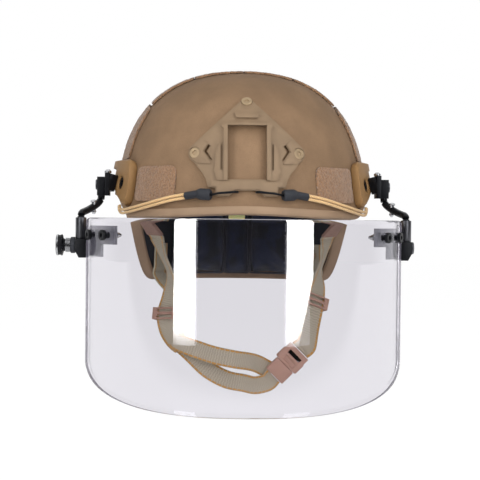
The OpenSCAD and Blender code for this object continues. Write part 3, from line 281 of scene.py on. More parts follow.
def edit(piece, *steps):
    """Runs edit mode operators, each a name with its settings, on all of a piece."""
    only(piece)
    bpy.ops.object.mode_set(mode="EDIT")
    for operator, settings in steps:
        bpy.ops.mesh.select_all(action="SELECT")
        getattr(bpy.ops.mesh, operator)(**settings)
    bpy.ops.object.mode_set(mode="OBJECT")


def modify(piece, kind, **settings):
    """Adds a modifier with these settings and applies it."""
    made = piece.modifiers.new(kind.lower(), kind)
    for key, value in settings.items():
        setattr(made, key, value)
    only(piece)
    bpy.ops.object.modifier_apply(modifier=made.name)


def smooth_to(piece, degrees):
    """Shades a piece smooth, except across edges that are sharper than an angle."""
    only(piece)
    bpy.ops.object.shade_smooth_by_angle(angle=math.radians(degrees))


def round_edges(piece, width, degrees):
    """Rounds the edges that are sharper than an angle. The width is in metres."""
    modify(piece, "BEVEL", width=width, segments=2, limit_method="ANGLE",
           angle_limit=math.radians(degrees))


def joined(name, parts):
    """Several meshes as one piece."""
    only(*parts)
    if len(parts) > 1:
        bpy.ops.object.join()
    parts[0].name = parts[0].data.name = name
    return parts[0]


def points_of(piece):
    co = np.empty(len(piece.data.vertices) * 3)
    piece.data.vertices.foreach_get("co", co)
    return co.reshape(-1, 3)


def move_points(piece, points):
    piece.data.vertices.foreach_set("co", np.asarray(points, float).ravel())
    piece.data.update()


def face_out(piece):
    """Turns an open sheet so that its faces look away from the origin."""
    if sum(face.normal.dot(face.center) for face in piece.data.polygons) < 0:
        edit(piece, ("flip_normals", {}))


def placed(name, data):
    """A new object in the scene."""
    made = bpy.data.objects.new(name, data)
    bpy.context.scene.collection.objects.link(made)
    return made


def run_length(line):
    return float(np.linalg.norm(np.diff(line, axis=0), axis=1).sum())


def wrap(name, columns, rows, place, closed=True, map_size=(1, 1)):
    """A grid whose points go where place(u, v) says, in millimetres, with u and v from 0 to 1."""
    only()
    bpy.ops.mesh.primitive_grid_add(x_subdivisions=columns, y_subdivisions=rows, size=1)
    piece = bpy.context.object
    piece.name = piece.data.name = name
    flat = points_of(piece) + 0.5
    move_points(piece, place(flat[:, 0], flat[:, 1]) * MM)
    uv = piece.data.uv_layers.active.data
    held = np.empty(len(uv) * 2)
    uv.foreach_get("uv", held)
    uv.foreach_set("uv", (held.reshape(-1, 2) * map_size).ravel())
    steps = [("remove_doubles", {"threshold": WELD})]
    if closed:
        steps.append(("normals_make_consistent", {"inside": False}))
    edit(piece, *steps)
    return piece


def ring(u, across, third):
    """Directions round a ring, at shares u of a turn."""
    return cosine(360 * u)[:, None] * across + sine(360 * u)[:, None] * third


def tube(name, route, radius, sides, rows=0):
    """A round bar along points in millimetres, closed at its ends. With rows, it bends smoothly."""
    line = spline(route, np.linspace(0, 1, rows - 1)) if rows else np.asarray(route, float)
    rows = len(line) + 1
    forward = unit(np.gradient(line, axis=0))
    across = [unit(np.cross(forward[0], [0.1, 0.3, 1]))]
    for step in forward[1:]:
        across.append(unit(across[-1] - np.dot(across[-1], step) * step))
    across = np.array(across)
    third = np.cross(forward, across)

    def place(u, v):
        row = np.rint(v * rows).astype(int)
        i = np.clip(row - 1, 0, len(line) - 1)
        r = np.where((row == 0) | (row == rows), 0, radius)[:, None]
        return line[i] + r * ring(u, across[i], third[i])

    return wrap(name, sides, rows, place, map_size=(2 * math.pi * radius, run_length(line)))


def turned(name, profile, centre, sides, ribs, rib_depth, ribbed):
    """A lathe piece along -X: profile lists (distance from centre, radius), in millimetres."""
    profile = np.array([(profile[0][0], 0), *profile, (profile[-1][0], 0)], float)
    forward, across = np.array([-1.0, 0, 0]), unit([0, 1, -0.2])
    third = np.cross(forward, across)
    rows = len(profile) - 1

    def place(u, v):
        i = np.rint(v * rows).astype(int)
        far, r = profile[i, 0], profile[i, 1]
        cut = (i >= ribbed[0]) & (i <= ribbed[1])
        r = r - np.where(cut, rib_depth * (0.5 + 0.5 * cosine(360 * u * ribs)), 0)
        return centre + far[:, None] * forward + r[:, None] * ring(u, across, third)

    return wrap(name, sides, rows, place)


WEB_COLUMNS, WEB_SELVEDGE, WEB_EDGE = 8, 0.4, 0.45
MAP_WIDTH = 20  # width of any webbing in its map, where the length is in millimetres


def band(name, route, across, width, thick, rows, lead=(), tail=()):
    """Flat webbing along a route, with a straight start to lead and a straight end to tail."""
    share = np.linspace(0, 1, rows)
    line, side = spline(route, share), spline(across, share)
    if len(lead):
        line, side = np.vstack([[lead], line]), np.vstack([side[:1], side])
    if len(tail):
        line, side = np.vstack([line, [tail]]), np.vstack([side, side[-1:]])
    rows = len(line) - 1
    forward = unit(np.gradient(line, axis=0))
    side = unit(side - (side * forward).sum(1, keepdims=True) * forward)

    def place(u, v):
        i = np.rint(v * rows).astype(int)
        return line[i] + side[i] * ((u - 0.5) * (width - WEB_SELVEDGE))[:, None]

    piece = wrap(name, WEB_COLUMNS, rows, place, closed=False,
                 map_size=(MAP_WIDTH, run_length(line)))
    modify(piece, "SOLIDIFY", thickness=thick * MM, offset=0)
    round_edges(piece, WEB_EDGE * MM, 60)
    smooth_to(piece, 50)
    return piece


def copied(node, name):
    """A piece with the merged mesh of a CAD node."""
    piece = placed(name, frame["nodes"][node].data.copy())
    piece.data.materials.clear()
    only(piece)
    if piece.data.has_custom_normals:
        bpy.ops.mesh.customdata_custom_splitnormals_clear()
    edit(piece, ("remove_doubles", {"threshold": WELD}),
         ("dissolve_limited", {"angle_limit": math.radians(0.6)}))
    return piece


def wear(piece, *names):
    """Gives a piece its materials."""
    for name in names:
        piece.data.materials.append(material(name))


def finish_piece(piece, node, worn=None, degrees=None, body="helmet"):
    """Gives a piece its material, smoothing and body, and hides the CAD node that it stands for."""
    if worn:
        wear(piece, worn)
    if degrees:
        smooth_to(piece, degrees)
    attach(piece, body)
    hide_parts(node)


def dress(node, worn, edge=1.0, degrees=35):
    """A CAD node's shape with its edges rounded, in its own place."""
    piece = copied(node, node + "_finished")
    round_edges(piece, edge * bpy.context.scene.helmet_sizes.edge_break, degrees)
    finish_piece(piece, node, worn, degrees, frame["nodes"][node]["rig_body"])


# Materials. Scales of noise are per metre, depths of bumps are in metres.


def arithmetic(operation, swapped=False):
    """A method that joins a value and another one in a maths node."""
    def method(self, other):
        return self.shade.maths(operation, *((other, self) if swapped else (self, other)))
    return method


class Value:
    """A shader socket that Python's arithmetic can use."""

    __add__ = __radd__ = arithmetic("ADD")
    __sub__, __rsub__ = arithmetic("SUBTRACT"), arithmetic("SUBTRACT", True)
    __mul__ = __rmul__ = arithmetic("MULTIPLY")
    __truediv__ = arithmetic("DIVIDE")

    def __init__(self, shade, socket):
        self.shade, self.socket = shade, socket

    def wave(self):
        """Sine, from 0 to 1, of the value in turns."""
        return self.shade.maths("SINE", self * (2 * math.pi)) * 0.5 + 0.5

    def part(self):
        return self.shade.maths("FRACT", self)

    def size(self):
        return self.shade.maths("ABSOLUTE", self)

    def between(self, low, high):
        """0 up to low and 1 from high, smoothly."""
        return self.shade.node("MapRange", {"Value": self, "From Min": low, "From Max": high},
                               interpolation_type="SMOOTHSTEP")


WHITE = (1, 1, 1, 1)


def scaled(colour_now, factor):
    return tuple(min(1, part * factor) for part in colour_now)


class Shade:
    """A material or world whose nodes are written as expressions, in shades of a base colour."""

    def __init__(self, made, base=None):
        made.use_nodes = True
        self.made, self.base, self.tree = made, base, made.node_tree
        self.tree.nodes.clear()

    def node(self, kind, sockets=(), out=0, **settings):
        made = self.tree.nodes.new("ShaderNode" + kind)
        for key, value in settings.items():
            setattr(made, key, value)
        for key, value in dict(sockets).items():
            if isinstance(value, Value):
                self.tree.links.new(value.socket, made.inputs[key])
            else:
                made.inputs[key].default_value = value
        return Value(self, made.outputs[out]) if made.outputs else None

    def maths(self, operation, *values):
        return self.node("Math", dict(enumerate(values)), operation=operation)

    def rgba(self, value):
        """A colour for a socket. A number stands for the base colour times that number."""
        if isinstance(value, Value):
            return value
        return (*(scaled(self.base, value) if isinstance(value, (int, float)) else value), 1)

    def mix(self, share, first, second):
        sockets = {0: share, 6: self.rgba(first), 7: self.rgba(second)}
        return self.node("Mix", sockets, 2, data_type="RGBA")

    def noise(self, scale, detail=2.0):
        return self.node("TexNoise", {"Vector": self.place(), "Scale": scale, "Detail": detail})

    def cells(self, scale):
        return self.node("TexVoronoi", {"Vector": self.place(), "Scale": scale})

    def place(self):
        return self.node("TexCoord", out="Object")

    def ray(self, kind):
        return self.node("LightPath", out=kind)

    def axes(self, vector):
        """The three parts of a vector."""
        split = self.node("SeparateXYZ", {"Vector": vector})
        return [Value(self, out) for out in split.socket.node.outputs]

    def map(self):
        """The piece's own map, as across and along."""
        return self.axes(self.node("TexCoord", out="UV"))[:2]

    def bump(self, height, depth):
        return self.node("Bump", {"Strength": 1.0, "Distance": depth, "Height": height})

    def glow(self, strength):
        return self.node("Emission", {"Color": WHITE, "Strength": strength})

    def blend(self, share, first, second):
        """From a first shader to a second."""
        return self.node("MixShader", {0: share, 1: first, 2: second})

    def end(self, shader, kind="Material"):
        self.node("Output" + kind, {"Surface": shader})
        return self.made

    def surface(self, tone, rough, height, depth, **constants):
        """Ends the material in one shader, bumped by height times depth."""
        sockets = {key.replace("_", " "): value for key, value in constants.items()}
        sockets.update({"Base Color": tone, "Roughness": rough, "Normal": self.bump(height, depth)})
        return self.end(self.node("BsdfPrincipled", sockets))


def paint(shade):
    """Rough sprayed paint, a little uneven in colour."""
    grain, blotch = shade.noise(1100, 4), shade.noise(38, 3)
    specks = shade.noise(2300, 1).between(0.6, 0.72)
    tone = shade.mix(blotch.between(0.3, 0.72), 0.9, 1.08)
    tone = shade.mix(specks * 0.35, tone, 1.35)
    tone = shade.mix(grain.between(0.52, 0.3) * 0.3, tone, 0.6)
    return shade.surface(tone, 0.62 + grain * 0.2, grain + specks * 0.4, 0.00028,
                         Specular_IOR_Level=0.2)


def moulded(shade, rough, depth=0.00012):
    """Moulded plastic with a fine spark-eroded grain."""
    grain = shade.noise(1900, 3)
    tone = shade.mix(shade.noise(55).between(0.3, 0.7), 0.93, 1.05)
    tone = shade.mix(grain.between(0.62, 0.75) * 0.3, tone, 1.3)
    return shade.surface(tone, rough + grain * 0.18, grain, depth, Specular_IOR_Level=0.3)


def metal(shade, rough, metallic=1.0):
    """Machined or plated metal, worn a little unevenly."""
    lines, blotch = shade.noise(2600), shade.noise(140, 3)
    tone = shade.mix(blotch.between(0.25, 0.75), 0.82, 1.08)
    rough = rough + blotch * 0.16 + lines * 0.05
    return shade.surface(tone, rough, lines, 0.00003, Metallic=metallic)


def loop_pile(shade):
    """Fuzzy pile of a loop fastener patch."""
    curls, tufts = shade.cells(1150), shade.noise(620, 4)
    tone = shade.mix(tufts.between(0.36, 0.66), 0.62, 1.32)
    tone = shade.mix(curls.between(0.1, 0.5) * 0.45, tone, 0.72)
    tone = shade.mix(shade.noise(90).between(0.35, 0.7) * 0.3, tone, 1.12)
    return shade.surface(tone, 0.95, tufts + (1 - curls) * 0.6, 0.0009, Sheen_Weight=0.35,
                         Sheen_Roughness=0.5)


def braid(shade):
    """Braided sheath, with slanting yarns that cross."""
    across, along = shade.map()
    left, right = ((along * 0.45 + across * slant).wave() for slant in (0.5, -0.5))
    height = shade.maths("MAXIMUM", left, right)
    tone = shade.mix(height.between(0.45, 0.95), 0.66, 1.15)
    tone = shade.mix(shade.noise(3000).between(0.5, 0.7) * 0.3, tone, 1.5)
    return shade.surface(tone, 0.7, height, 0.00025, Sheen_Weight=0.2)


def weave(shade):
    """Woven tape with slanting ribs and a stitched line along both edges."""
    colours, sizes = bpy.context.scene.helmet_colours, bpy.context.scene.helmet_sizes
    across, along = shade.map()
    slant = ((across * 0.2).part() - 0.5).size()
    ribs = ((along + slant) / (sizes.weave_pitch / MM)).wave()
    yarns = (across * 0.95).wave()
    from_edge = MAP_WIDTH / 2 - (across - MAP_WIDTH / 2).size()
    line = from_edge.between(0.2, 0.5) * (1 - from_edge.between(2.0, 2.6))
    stitches = line * (along / (sizes.stitch_pitch / MM)).wave().between(0.0, 0.14)
    tone = shade.mix(ribs.between(0.1, 0.9), 0.8, 1.04)
    tone = shade.mix(yarns * 0.3, tone, 0.78)
    tone = shade.mix(shade.noise(2600, 3).between(0.55, 0.75) * 0.3, tone, 1.35)
    tone = shade.mix(stitches, tone, tuple(colours.stitch))
    height = ribs * 0.5 + yarns * 0.3 + stitches * 0.9
    return shade.surface(tone, 0.82, height, 0.0003, Sheen_Weight=0.15)


def pad_cloth(shade):
    """Close-knit cloth of the pads, faded to grey in places."""
    fibre = shade.noise(1700, 3)
    tone = shade.mix(fibre.between(0.35, 0.7), 0.7, 1.5)
    tone = shade.mix(shade.noise(60).between(0.42, 0.62) * 0.75, tone, scaled(tint("17171A"), 0.8))
    return shade.surface(tone, 0.9, fibre * 0.5 + shade.cells(900), 0.0004, Sheen_Weight=0.2)


def pad_binding(shade):
    """Ribbed tape round the pads."""
    across, along = shade.map()
    ribs = (along * 0.7 + across * 0.3).wave()
    return shade.surface(shade.mix(ribs, 0.6, 1.3), 0.85, ribs, 0.0003)


def keeper_tape(shade):
    """Coated tape, speckled with lighter fibres."""
    fleck, grain = shade.cells(800), shade.noise(1500, 4)
    tone = shade.mix(grain.between(0.35, 0.65), 0.78, 1.15)
    tone = shade.mix(fleck.between(0.28, 0.08) * 0.5, tone, 1.7)
    return shade.surface(tone, 0.75, grain + fleck * 0.5, 0.0003)


def soft_tab(shade):
    """Soft see-through plastic."""
    cloud = shade.noise(120)
    return shade.surface(shade.mix(cloud, 0.85, 1.1), 0.35 + cloud * 0.1, cloud, 0.0001,
                         Subsurface_Weight=0.4, Subsurface_Scale=0.004)


def clear_visor(shade):
    """Glass to the eye, and a pale tint to the lamps' light."""
    glass = shade.node("BsdfPrincipled", {
        "Base Color": shade.mix(shade.noise(18), 0.985, 1.01), "Roughness": 0.0, "IOR": 1.5,
        "Transmission Weight": 1.0, "Specular IOR Level": 0.5,
        "Normal": shade.bump(shade.noise(9, 1), 0.00001)})
    clear = shade.node("BsdfTransparent", {"Color": shade.rgba(1.02)})
    return shade.end(shade.blend(shade.ray("Is Shadow Ray"), glass, clear))


def visor_edge(shade):
    """Polished edge, darker because the eye looks along the sheet."""
    lines = shade.noise(160, 3)
    tone = shade.mix(lines.between(0.3, 0.7), 0.8, 1.25)
    return shade.surface(tone, 0.12 + lines * 0.1, lines, 0.00005, Transmission_Weight=0.35)


# Each material's maker, its colour among the helmet's, and the maker's numbers
MATERIALS = {
    "textured_paint": (paint, "paint"),
    "loop_pile": (loop_pile, "loop"),
    "bungee_braid": (braid, "cord"),
    "webbing_weave": (weave, "webbing"),
    "pad_cloth": (pad_cloth, "pad"),
    "pad_binding": (pad_binding, "seam"),
    "keeper_tape": (keeper_tape, "keeper"),
    "soft_tab": (soft_tab, "tab"),
    "clear_visor": (clear_visor, "visor"),
    "visor_edge": (visor_edge, "visor_edge"),
    "edge_rubber": (moulded, "trim", 0.6, 0.0001),
    # The shell's inner faces get a dark colour painted there as shade
    "inner_coat": (moulded, "inner", 0.7),
    "shroud_plastic": (moulded, "shroud", 0.5),
    "rail_plastic": (moulded, "rail", 0.5),
    "buckle_plastic": (moulded, "buckle", 0.46),
    "black_moulding": (moulded, "black", 0.5, 0.0001),
    "tan_screw": (metal, "screws", 0.4, 0.25),
    "black_steel": (metal, "black", 0.3, 0.6),
    "bright_steel": (metal, "steel", 0.16),
    "grey_steel": (metal, "grey", 0.28),
    "bracket_steel": (metal, "bracket", 0.4, 0.5),
}
LIGHTER = {"black_moulding": 4, "black_steel": 1.5}  # where the colour is lighter than the group's


def material(name):
    """One of the helmet's materials, made when it is first asked for."""
    if name in bpy.data.materials:
        return bpy.data.materials[name]
    maker, field, *numbers = MATERIALS[name]
    base = scaled(getattr(bpy.context.scene.helmet_colours, field), LIGHTER.get(name, 1))
    return maker(Shade(bpy.data.materials.new(name), base), *numbers)


# Pieces


class HelmetOperator(Operator):
    """Base of the operators that add a piece."""

    bl_options = {"REGISTER", "UNDO"}

    def execute(self, context):
        self.build(context.scene.helmet_sizes)
        return {"FINISHED"}


SKIN_COLUMNS, SKIN_ROWS, TRIM_COLUMNS = 180, 100, 240
SKIN_CROWDING = 0.85  # below 1, the rows of the skin crowd towards the rim


class HELMET_OT_add_shell(HelmetOperator):
    """Adds the painted shell and the rubber trim round its rim."""

    bl_idname = "helmet.add_shell"
    bl_label = "Shell and edge trim"

    def build(self, sizes):
        def skin(u, v):
            phi = 360 * u
            outside = v <= 0.5
            share = np.where(outside, v / 0.5, (1 - v) / (0.5 - 1 / SKIN_ROWS))
            t = t_at(rim_z(phi)) * np.clip(share, 0, 1) ** SKIN_CROWDING
            return dome(phi, t, np.where(outside, 0, -WALL))

        shell = wrap("shell_skin", SKIN_COLUMNS, SKIN_ROWS, skin)
        wear(shell, "textured_paint", "inner_coat")
        # Faces that look inward take the second material, a dark colour painted inside the shell as
        # shade
        for face in shell.data.polygons:
            face.material_index = int(face.normal.dot(face.center) < 0)
        finish_piece(shell, "shell", degrees=50)

        near = GAP / 2
        out, wall = near + TRIM_WALL, -WALL - near
        inner = -WALL - out
        middle, half = (out + inner) / 2, (out - inner) / 2
        profile = [(out - 0.5, TRIM_LAP), (out - 0.1, TRIM_LAP - 0.4), (out, TRIM_LAP - 1), (out, 3),
                   (out, 0)]
        profile += [(middle + half * cosine(a), -TRIM_ROUND * sine(a)) for a in range(15, 180, 15)]
        profile += [(inner, 0), (inner, 3), (inner, TRIM_LAP - 1), (inner + 0.5, TRIM_LAP)]
        profile += [(wall, TRIM_LAP), (wall, 0), (wall, -near), (near, -near), (near, 0)]
        profile = np.array([*profile, (near, TRIM_LAP), profile[0]])
        steps = len(profile) - 1

        def lip(u, v):
            i = np.rint(v * steps).astype(int)
            d, up = profile[i, 0], profile[i, 1]
            phi = 360 * u
            low = np.stack([0 * up, 0 * up, np.minimum(up, 0)], axis=-1)
            return dome(phi, t_at(rim_z(phi) + np.maximum(up, 0)), d) + low

        trim = wrap("rim_trim", TRIM_COLUMNS, steps, lip)
        finish_piece(trim, "edge_trim", "edge_rubber", 45)


class HELMET_OT_add_shroud(HelmetOperator):
    """Adds the front shroud and its three screws."""

    bl_idname = "helmet.add_shroud"
    bl_label = "Front shroud"

    def build(self, sizes):
        dress("front_shroud", "shroud_plastic", 1.4, 30)
        dress("shroud_screws", "tan_screw", 0.8)


class HELMET_OT_add_rails(HelmetOperator):
    """Adds the side rails with their screws."""

    bl_idname = "helmet.add_rails"
    bl_label = "Side rails"

    def build(self, sizes):
        for side in SIDES:
            dress("rail_" + side, "rail_plastic", 1.6, 32)
        dress("rail_screws", "black_steel", 0.9)


BUNGEE_D, BUNGEE_SPREAD = 2.6, 1.5
# Angle from the front, height and distance off the shell
BUNGEE_ROUTE = [(68, 6.2, 2), (67.4, 2.8, 2.2), (64, 0.8, 2.6), (57, 1.8, 3.4), (49, 4.2, 4),
                (41, 7.4, 4.3), (33, 11, 4.3), (25.4, 13.5, 4.3)]
CORD_STEPS, CORD_R, BAR_SIDES = 61, BUNGEE_D / 2 - 0.02, 12
SLEEVE_LEN, BARREL_LEN, HOOK_WIRE, HOOK_HELD, HOOK_ROWS = 12.0, 12.0, 2.0, 5, 60
SHROUD_FOOT, SHROUD_NOTCH, SHROUD_RIB = 14, 5, 8.5


class HELMET_OT_add_bungees(HelmetOperator):
    """Adds the folded bungee cords, their sleeves and the wire hooks under the shroud."""

    bl_idname = "helmet.add_bungees"
    bl_label = "Bungees and hooks"

    def build(self, sizes):
        key = [dome(p, t_at(z), d + BUNGEE_D / 2) for p, z, d in BUNGEE_ROUTE]
        line = spline(key, np.linspace(0, 1, CORD_STEPS))
        forward = unit(np.gradient(line, axis=0))
        aside = unit(np.cross(forward, unit(line * [1, 0.8, 0])))
        sleeve = line[-1] + GAP * forward[-1]
        barrel = sleeve + SLEEVE_LEN * forward[-1]
        turn = unit(forward[-1] + [-0.05, 0.15, -0.2])
        end = barrel + BARREL_LEN * turn
        grip = SHROUD_FOOT + SHROUD_NOTCH - GAP - HOOK_WIRE / 2
        front = -HALF_LENGTH - SHROUD_RIB - GAP - HOOK_WIRE / 2
        wire = np.array([barrel + HOOK_HELD * turn, end, (24, front - 0.2, grip - 1.2),
                         (17, front - 0.6, grip - 0.6), (11.5, front - 0.4, grip),
                         (8.6, front + 1.6, grip), (8, front + 4.4, grip), (8, front + 7, grip)])
        for side, flip in SIDES.items():
            runs = [(line + off * aside) * flip for off in (BUNGEE_SPREAD, -BUNGEE_SPREAD)]
            cords = [tube("run", run, CORD_R, BAR_SIDES) for run in runs]
            cord = joined("bungee_cord_" + side, cords)
            finish_piece(cord, "bungee_" + side, "bungee_braid", 60)
            hook = tube("wire_hook_" + side, wire * flip, HOOK_WIRE / 2, BAR_SIDES, HOOK_ROWS)
            finish_piece(hook, "hook_" + side, "black_steel", 60)
            dress("bungee_end_" + side, "black_moulding", 1.2)


PATCH_THICK, PATCH_CORNER, PATCH_STEP = 3.0, 6.0, 0.9
CLOTH_TOP, CLOTH_THICK = SEAT_GAP + PATCH_THICK - 1.5, PATCH_THICK - 1.4  # the pile takes the rest
SEAM_INNER, SEAM_OUTER, SEAM = 45.5, 85.0, 0.8
CROWN_LOW = 98  # about where the crown's patches begin, for the rows of the fields that reach them
PILE = (("tufts", 0.0016, 1.0), ("waves", 0.007, 0.5))  # size in metres, share of the pile's height

# Fields of cloth: on the dome from angle to angle and height to height, where None stands for the
# crown's patches, and on the crown from x to x and from y to y
FRONT, SIDE = ("dome", 32, 56, 10, 40), ("dome", 68, 112, 48, None)
REAR = ("dome", 152, 208, 38, 92)
INNER = ("crown", SEAM / 2, SEAM_INNER - SEAM / 2, -38, 66)
OUTER = ("crown", SEAM_INNER + SEAM / 2, SEAM_OUTER - SEAM / 2, -34, 46)
PATCHES = {
    "front_patch_left": [(FRONT, 1)],
    "front_patch_right": [(FRONT, -1)],
    "side_patch_left": [(SIDE, 1)],
    "side_patch_right": [(SIDE, -1)],
    "rear_patch": [(REAR, 1)],
    "crown_patches": [(INNER, 1), (INNER, -1), (OUTER, 1), (OUTER, -1)],
}


class HELMET_OT_add_patches(HelmetOperator):
    """Adds the loop patches of the forehead, sides, crown and back."""

    bl_idname = "helmet.add_patches"
    bl_label = "Loop patches"

    def build(self, sizes):
        for node, fields in PATCHES.items():
            patch = joined(node + "_pile", [self.patch(*field) for field in fields])
            self.raise_pile(patch, sizes)
            finish_piece(patch, node, "loop_pile", 80)

    def patch(self, field, sign):
        """One flat field of cloth with round corners."""
        kind, a, b, low, high = field
        if kind == "dome":
            length, height = math.radians(b - a) * HALF_WIDTH, (high or CROWN_LOW) - low
        else:
            length, height = high - low, b - a

        def place(u, v):
            from_end = np.minimum(u, 1 - u) * length
            reach = np.clip(PATCH_CORNER - from_end, 0, PATCH_CORNER)
            inset = PATCH_CORNER - np.sqrt(PATCH_CORNER ** 2 - reach ** 2)
            if kind == "dome":
                phi = mix(a, b, u)
                upper = beside(phi, SEAM_OUTER + SEAM / 2) if high is None else high
                made = dome(phi, t_at(mix(low + inset, upper - inset, v)), CLOTH_TOP)
            else:
                made = crown(mix(a + inset, b - inset, v), mix(low, high, u), CLOTH_TOP)
            return made * [sign, 1, 1]

        columns, rows = int(length / PATCH_STEP), int(height / PATCH_STEP)
        piece = wrap("patch", columns, rows, place, closed=False)
        face_out(piece)
        return piece

    def raise_pile(self, patch, sizes):
        """Turns the flat patch into a thick, ragged pile."""
        modify(patch, "SOLIDIFY", thickness=CLOTH_THICK * MM, offset=-1)
        for name, size, share in PILE:
            cloud = bpy.data.textures.new(name, "CLOUDS")
            cloud.noise_scale = size
            cloud.noise_depth = 1
            modify(patch, "DISPLACE", texture=cloud, texture_coords="LOCAL", mid_level=0.5,
                   strength=sizes.pile_height * share)


PAD_EDGE, BINDING_R = 8.0, 1.1
CROWN_PAD_X, CROWN_PAD_Y = 55.4, 60.9
INSET = 0.985  # share of the pad's sides where its binding runs
PAD_VOXEL = 0.0035  # metres
CHANNEL = 0.0022  # depth and half width of a pad's channel, in metres
REAR_LOW = TRIM_LAP - NAPE_DROP - 2
REAR_BACK = -WALL - TRIM_WALL - 2.5 * GAP
PADS = {  # from angle to angle and from height to height
    "front_pad": (-33, 33, 8, 62),
    "rear_pad_left": (138, 172, REAR_LOW, 42),
    "rear_pad_right": (188, 222, REAR_LOW, 42),
    "nape_pad": (173, 187, REAR_LOW, 44),
    "side_pad_left": (74, 112, 40, 92),
    "side_pad_right": (248, 286, 40, 92),
}
HEAD_MIDDLE = np.array([0, 0, 0.02])
STUFFING_STEPS, STUFFING_FORCE = 20, 4


class HELMET_OT_add_pads(HelmetOperator):
    """Adds the stuffed pads with their bindings, and the front pad's tab."""

    bl_idname = "helmet.add_pads"
    bl_label = "Padding"

    def build(self, sizes):
        pads = {node: copied(node, node + "_cushion") for node in [*PADS, "crown_pad"]}
        for pad in pads.values():
            modify(pad, "REMESH", mode="VOXEL", voxel_size=PAD_VOXEL)
        self.stuff(pads.values(), sizes.pad_swell)
        for node, pad in pads.items():
            modify(pad, "SMOOTH", factor=0.5, iterations=2)
            self.press_channel(pad, node)
            modify(pad, "SUBSURF", levels=1, render_levels=1)
            wear(pad, "pad_cloth")
            binding = self.binding(node)
            wear(binding, "pad_binding")
            whole = joined(pad.name, [pad, binding])
            finish_piece(whole, node, degrees=70)
        dress("pad_tab", "soft_tab", 1.2)

    def stuff(self, pads, swell):
        """Swells the pads with a cloth simulation, and holds them off the shell."""
        start = [points_of(pad) for pad in pads]
        for pad in pads:
            cloth = pad.modifiers.new("cloth", "CLOTH")
            cloth.settings.use_pressure = True
            cloth.settings.uniform_pressure_force = STUFFING_FORCE
            cloth.settings.effector_weights.gravity = 0
            cloth.settings.quality = 4
            cloth.collision_settings.use_collision = False
        for step in range(STUFFING_STEPS):
            bpy.context.scene.frame_set(step + 1)
        for pad, was in zip(pads, start):
            only(pad)
            bpy.ops.object.modifier_apply(modifier="cloth")
            moved = points_of(pad) - was
            outward = unit(was - HEAD_MIDDLE)
            push = (moved * outward).sum(1, keepdims=True)
            moved -= np.maximum(push, 0) * outward
            size = np.linalg.norm(moved, axis=1, keepdims=True)
            move_points(pad, was + moved * np.minimum(1, swell / np.maximum(size, 1e-9)))
        bpy.context.scene.frame_set(1)

    def press_channel(self, pad, node):
        """Presses a sewn channel: a ring in the crown pad, and a level line across any other."""
        at = points_of(pad)
        if node == "crown_pad":
            far = np.hypot(at[:, 0], at[:, 1] / 1.1) - 0.03
        else:
            far = at[:, 2] - (0 if node == "nape_pad" else MM * sum(PADS[node][2:]) / 2)
        depth = CHANNEL * np.exp(-(far / CHANNEL) ** 2)
        move_points(pad, at + unit(at - HEAD_MIDDLE) * depth[:, None])

    def binding(self, node):
        """Cord sewn round the pad's edge."""
        back = REAR_BACK if node[:4] in ("rear", "nape") else -WALL - PAD_GAP
        if node == "crown_pad":
            a = np.linspace(0, 360, 97)
            line = crown(CROWN_PAD_X * cosine(a), CROWN_PAD_Y * sine(a), back)
            line = line - [0, 0, PAD_EDGE * 0.72]
        else:
            phi_a, phi_b, low, high = PADS[node]
            k = np.linspace(0, 1, 25)
            u = mix(0.5, np.concatenate([k, k * 0 + 1, 1 - k, k * 0]), INSET)
            v = mix(0.5, np.concatenate([k * 0, k, k * 0 + 1, 1 - k]), INSET)
            line = dome(mix(phi_a, phi_b, u), t_at(mix(low, high, v)), back - PAD_EDGE * 0.8)
            line = line[np.append(True, np.linalg.norm(np.diff(line, axis=0), axis=1) > 0.3)]
        return tube("binding", line, BINDING_R, 8)


VISOR_R, VISOR_THICK, VISOR_ANGLE, VISOR_STAND_OFF = 150.0, 8.0, 68.0, 45
VISOR_HALF = VISOR_R * math.sin(math.radians(VISOR_ANGLE))
VISOR_TOP, VISOR_HEIGHT, CHIN_CURVE, CHIN_POWER, VISOR_CORNER = -5.0, 163.0, 48.0, 3.1, 5.0
VISOR_AXIS_Y = -HALF_LENGTH - BRIM_FLARE - VISOR_STAND_OFF + VISOR_R
VISOR_COLUMNS, VISOR_ROWS, VISOR_EDGE = 150, 40, 0.7


class HELMET_OT_add_visor(HelmetOperator):
    """Adds the clear visor."""

    bl_idname = "helmet.add_visor"
    bl_label = "Visor"

    def build(self, sizes):
        reach = VISOR_HALF + 0.6
        side = VISOR_TOP - VISOR_HEIGHT + CHIN_CURVE

        def place(u, v):
            across = mix(u, 0.5 - 0.5 * cosine(180 * u), 0.85)
            a = VISOR_ANGLE * (2 * across - 1)
            x = VISOR_R * sine(a)
            in_chin = np.clip(1 - np.abs(x / reach) ** CHIN_POWER, 0, 1) ** (1 / CHIN_POWER)
            low = side - CHIN_CURVE * in_chin
            over = np.clip(np.abs(x) - (reach - VISOR_CORNER), 0, VISOR_CORNER)
            high = VISOR_TOP - VISOR_CORNER + np.sqrt(VISOR_CORNER ** 2 - over ** 2)
            return np.stack([x, VISOR_AXIS_Y - VISOR_R * cosine(a), mix(low, high, v)], axis=-1)

        visor = wrap("visor_sheet", VISOR_COLUMNS, VISOR_ROWS, place, closed=False)
        face_out(visor)
        wear(visor, "clear_visor", "visor_edge")
        modify(visor, "SOLIDIFY", thickness=VISOR_THICK * MM, offset=-1, use_even_offset=True,
               material_offset_rim=1)
        round_edges(visor, VISOR_EDGE * MM, 60)
        finish_piece(visor, "visor", degrees=50, body="visor")


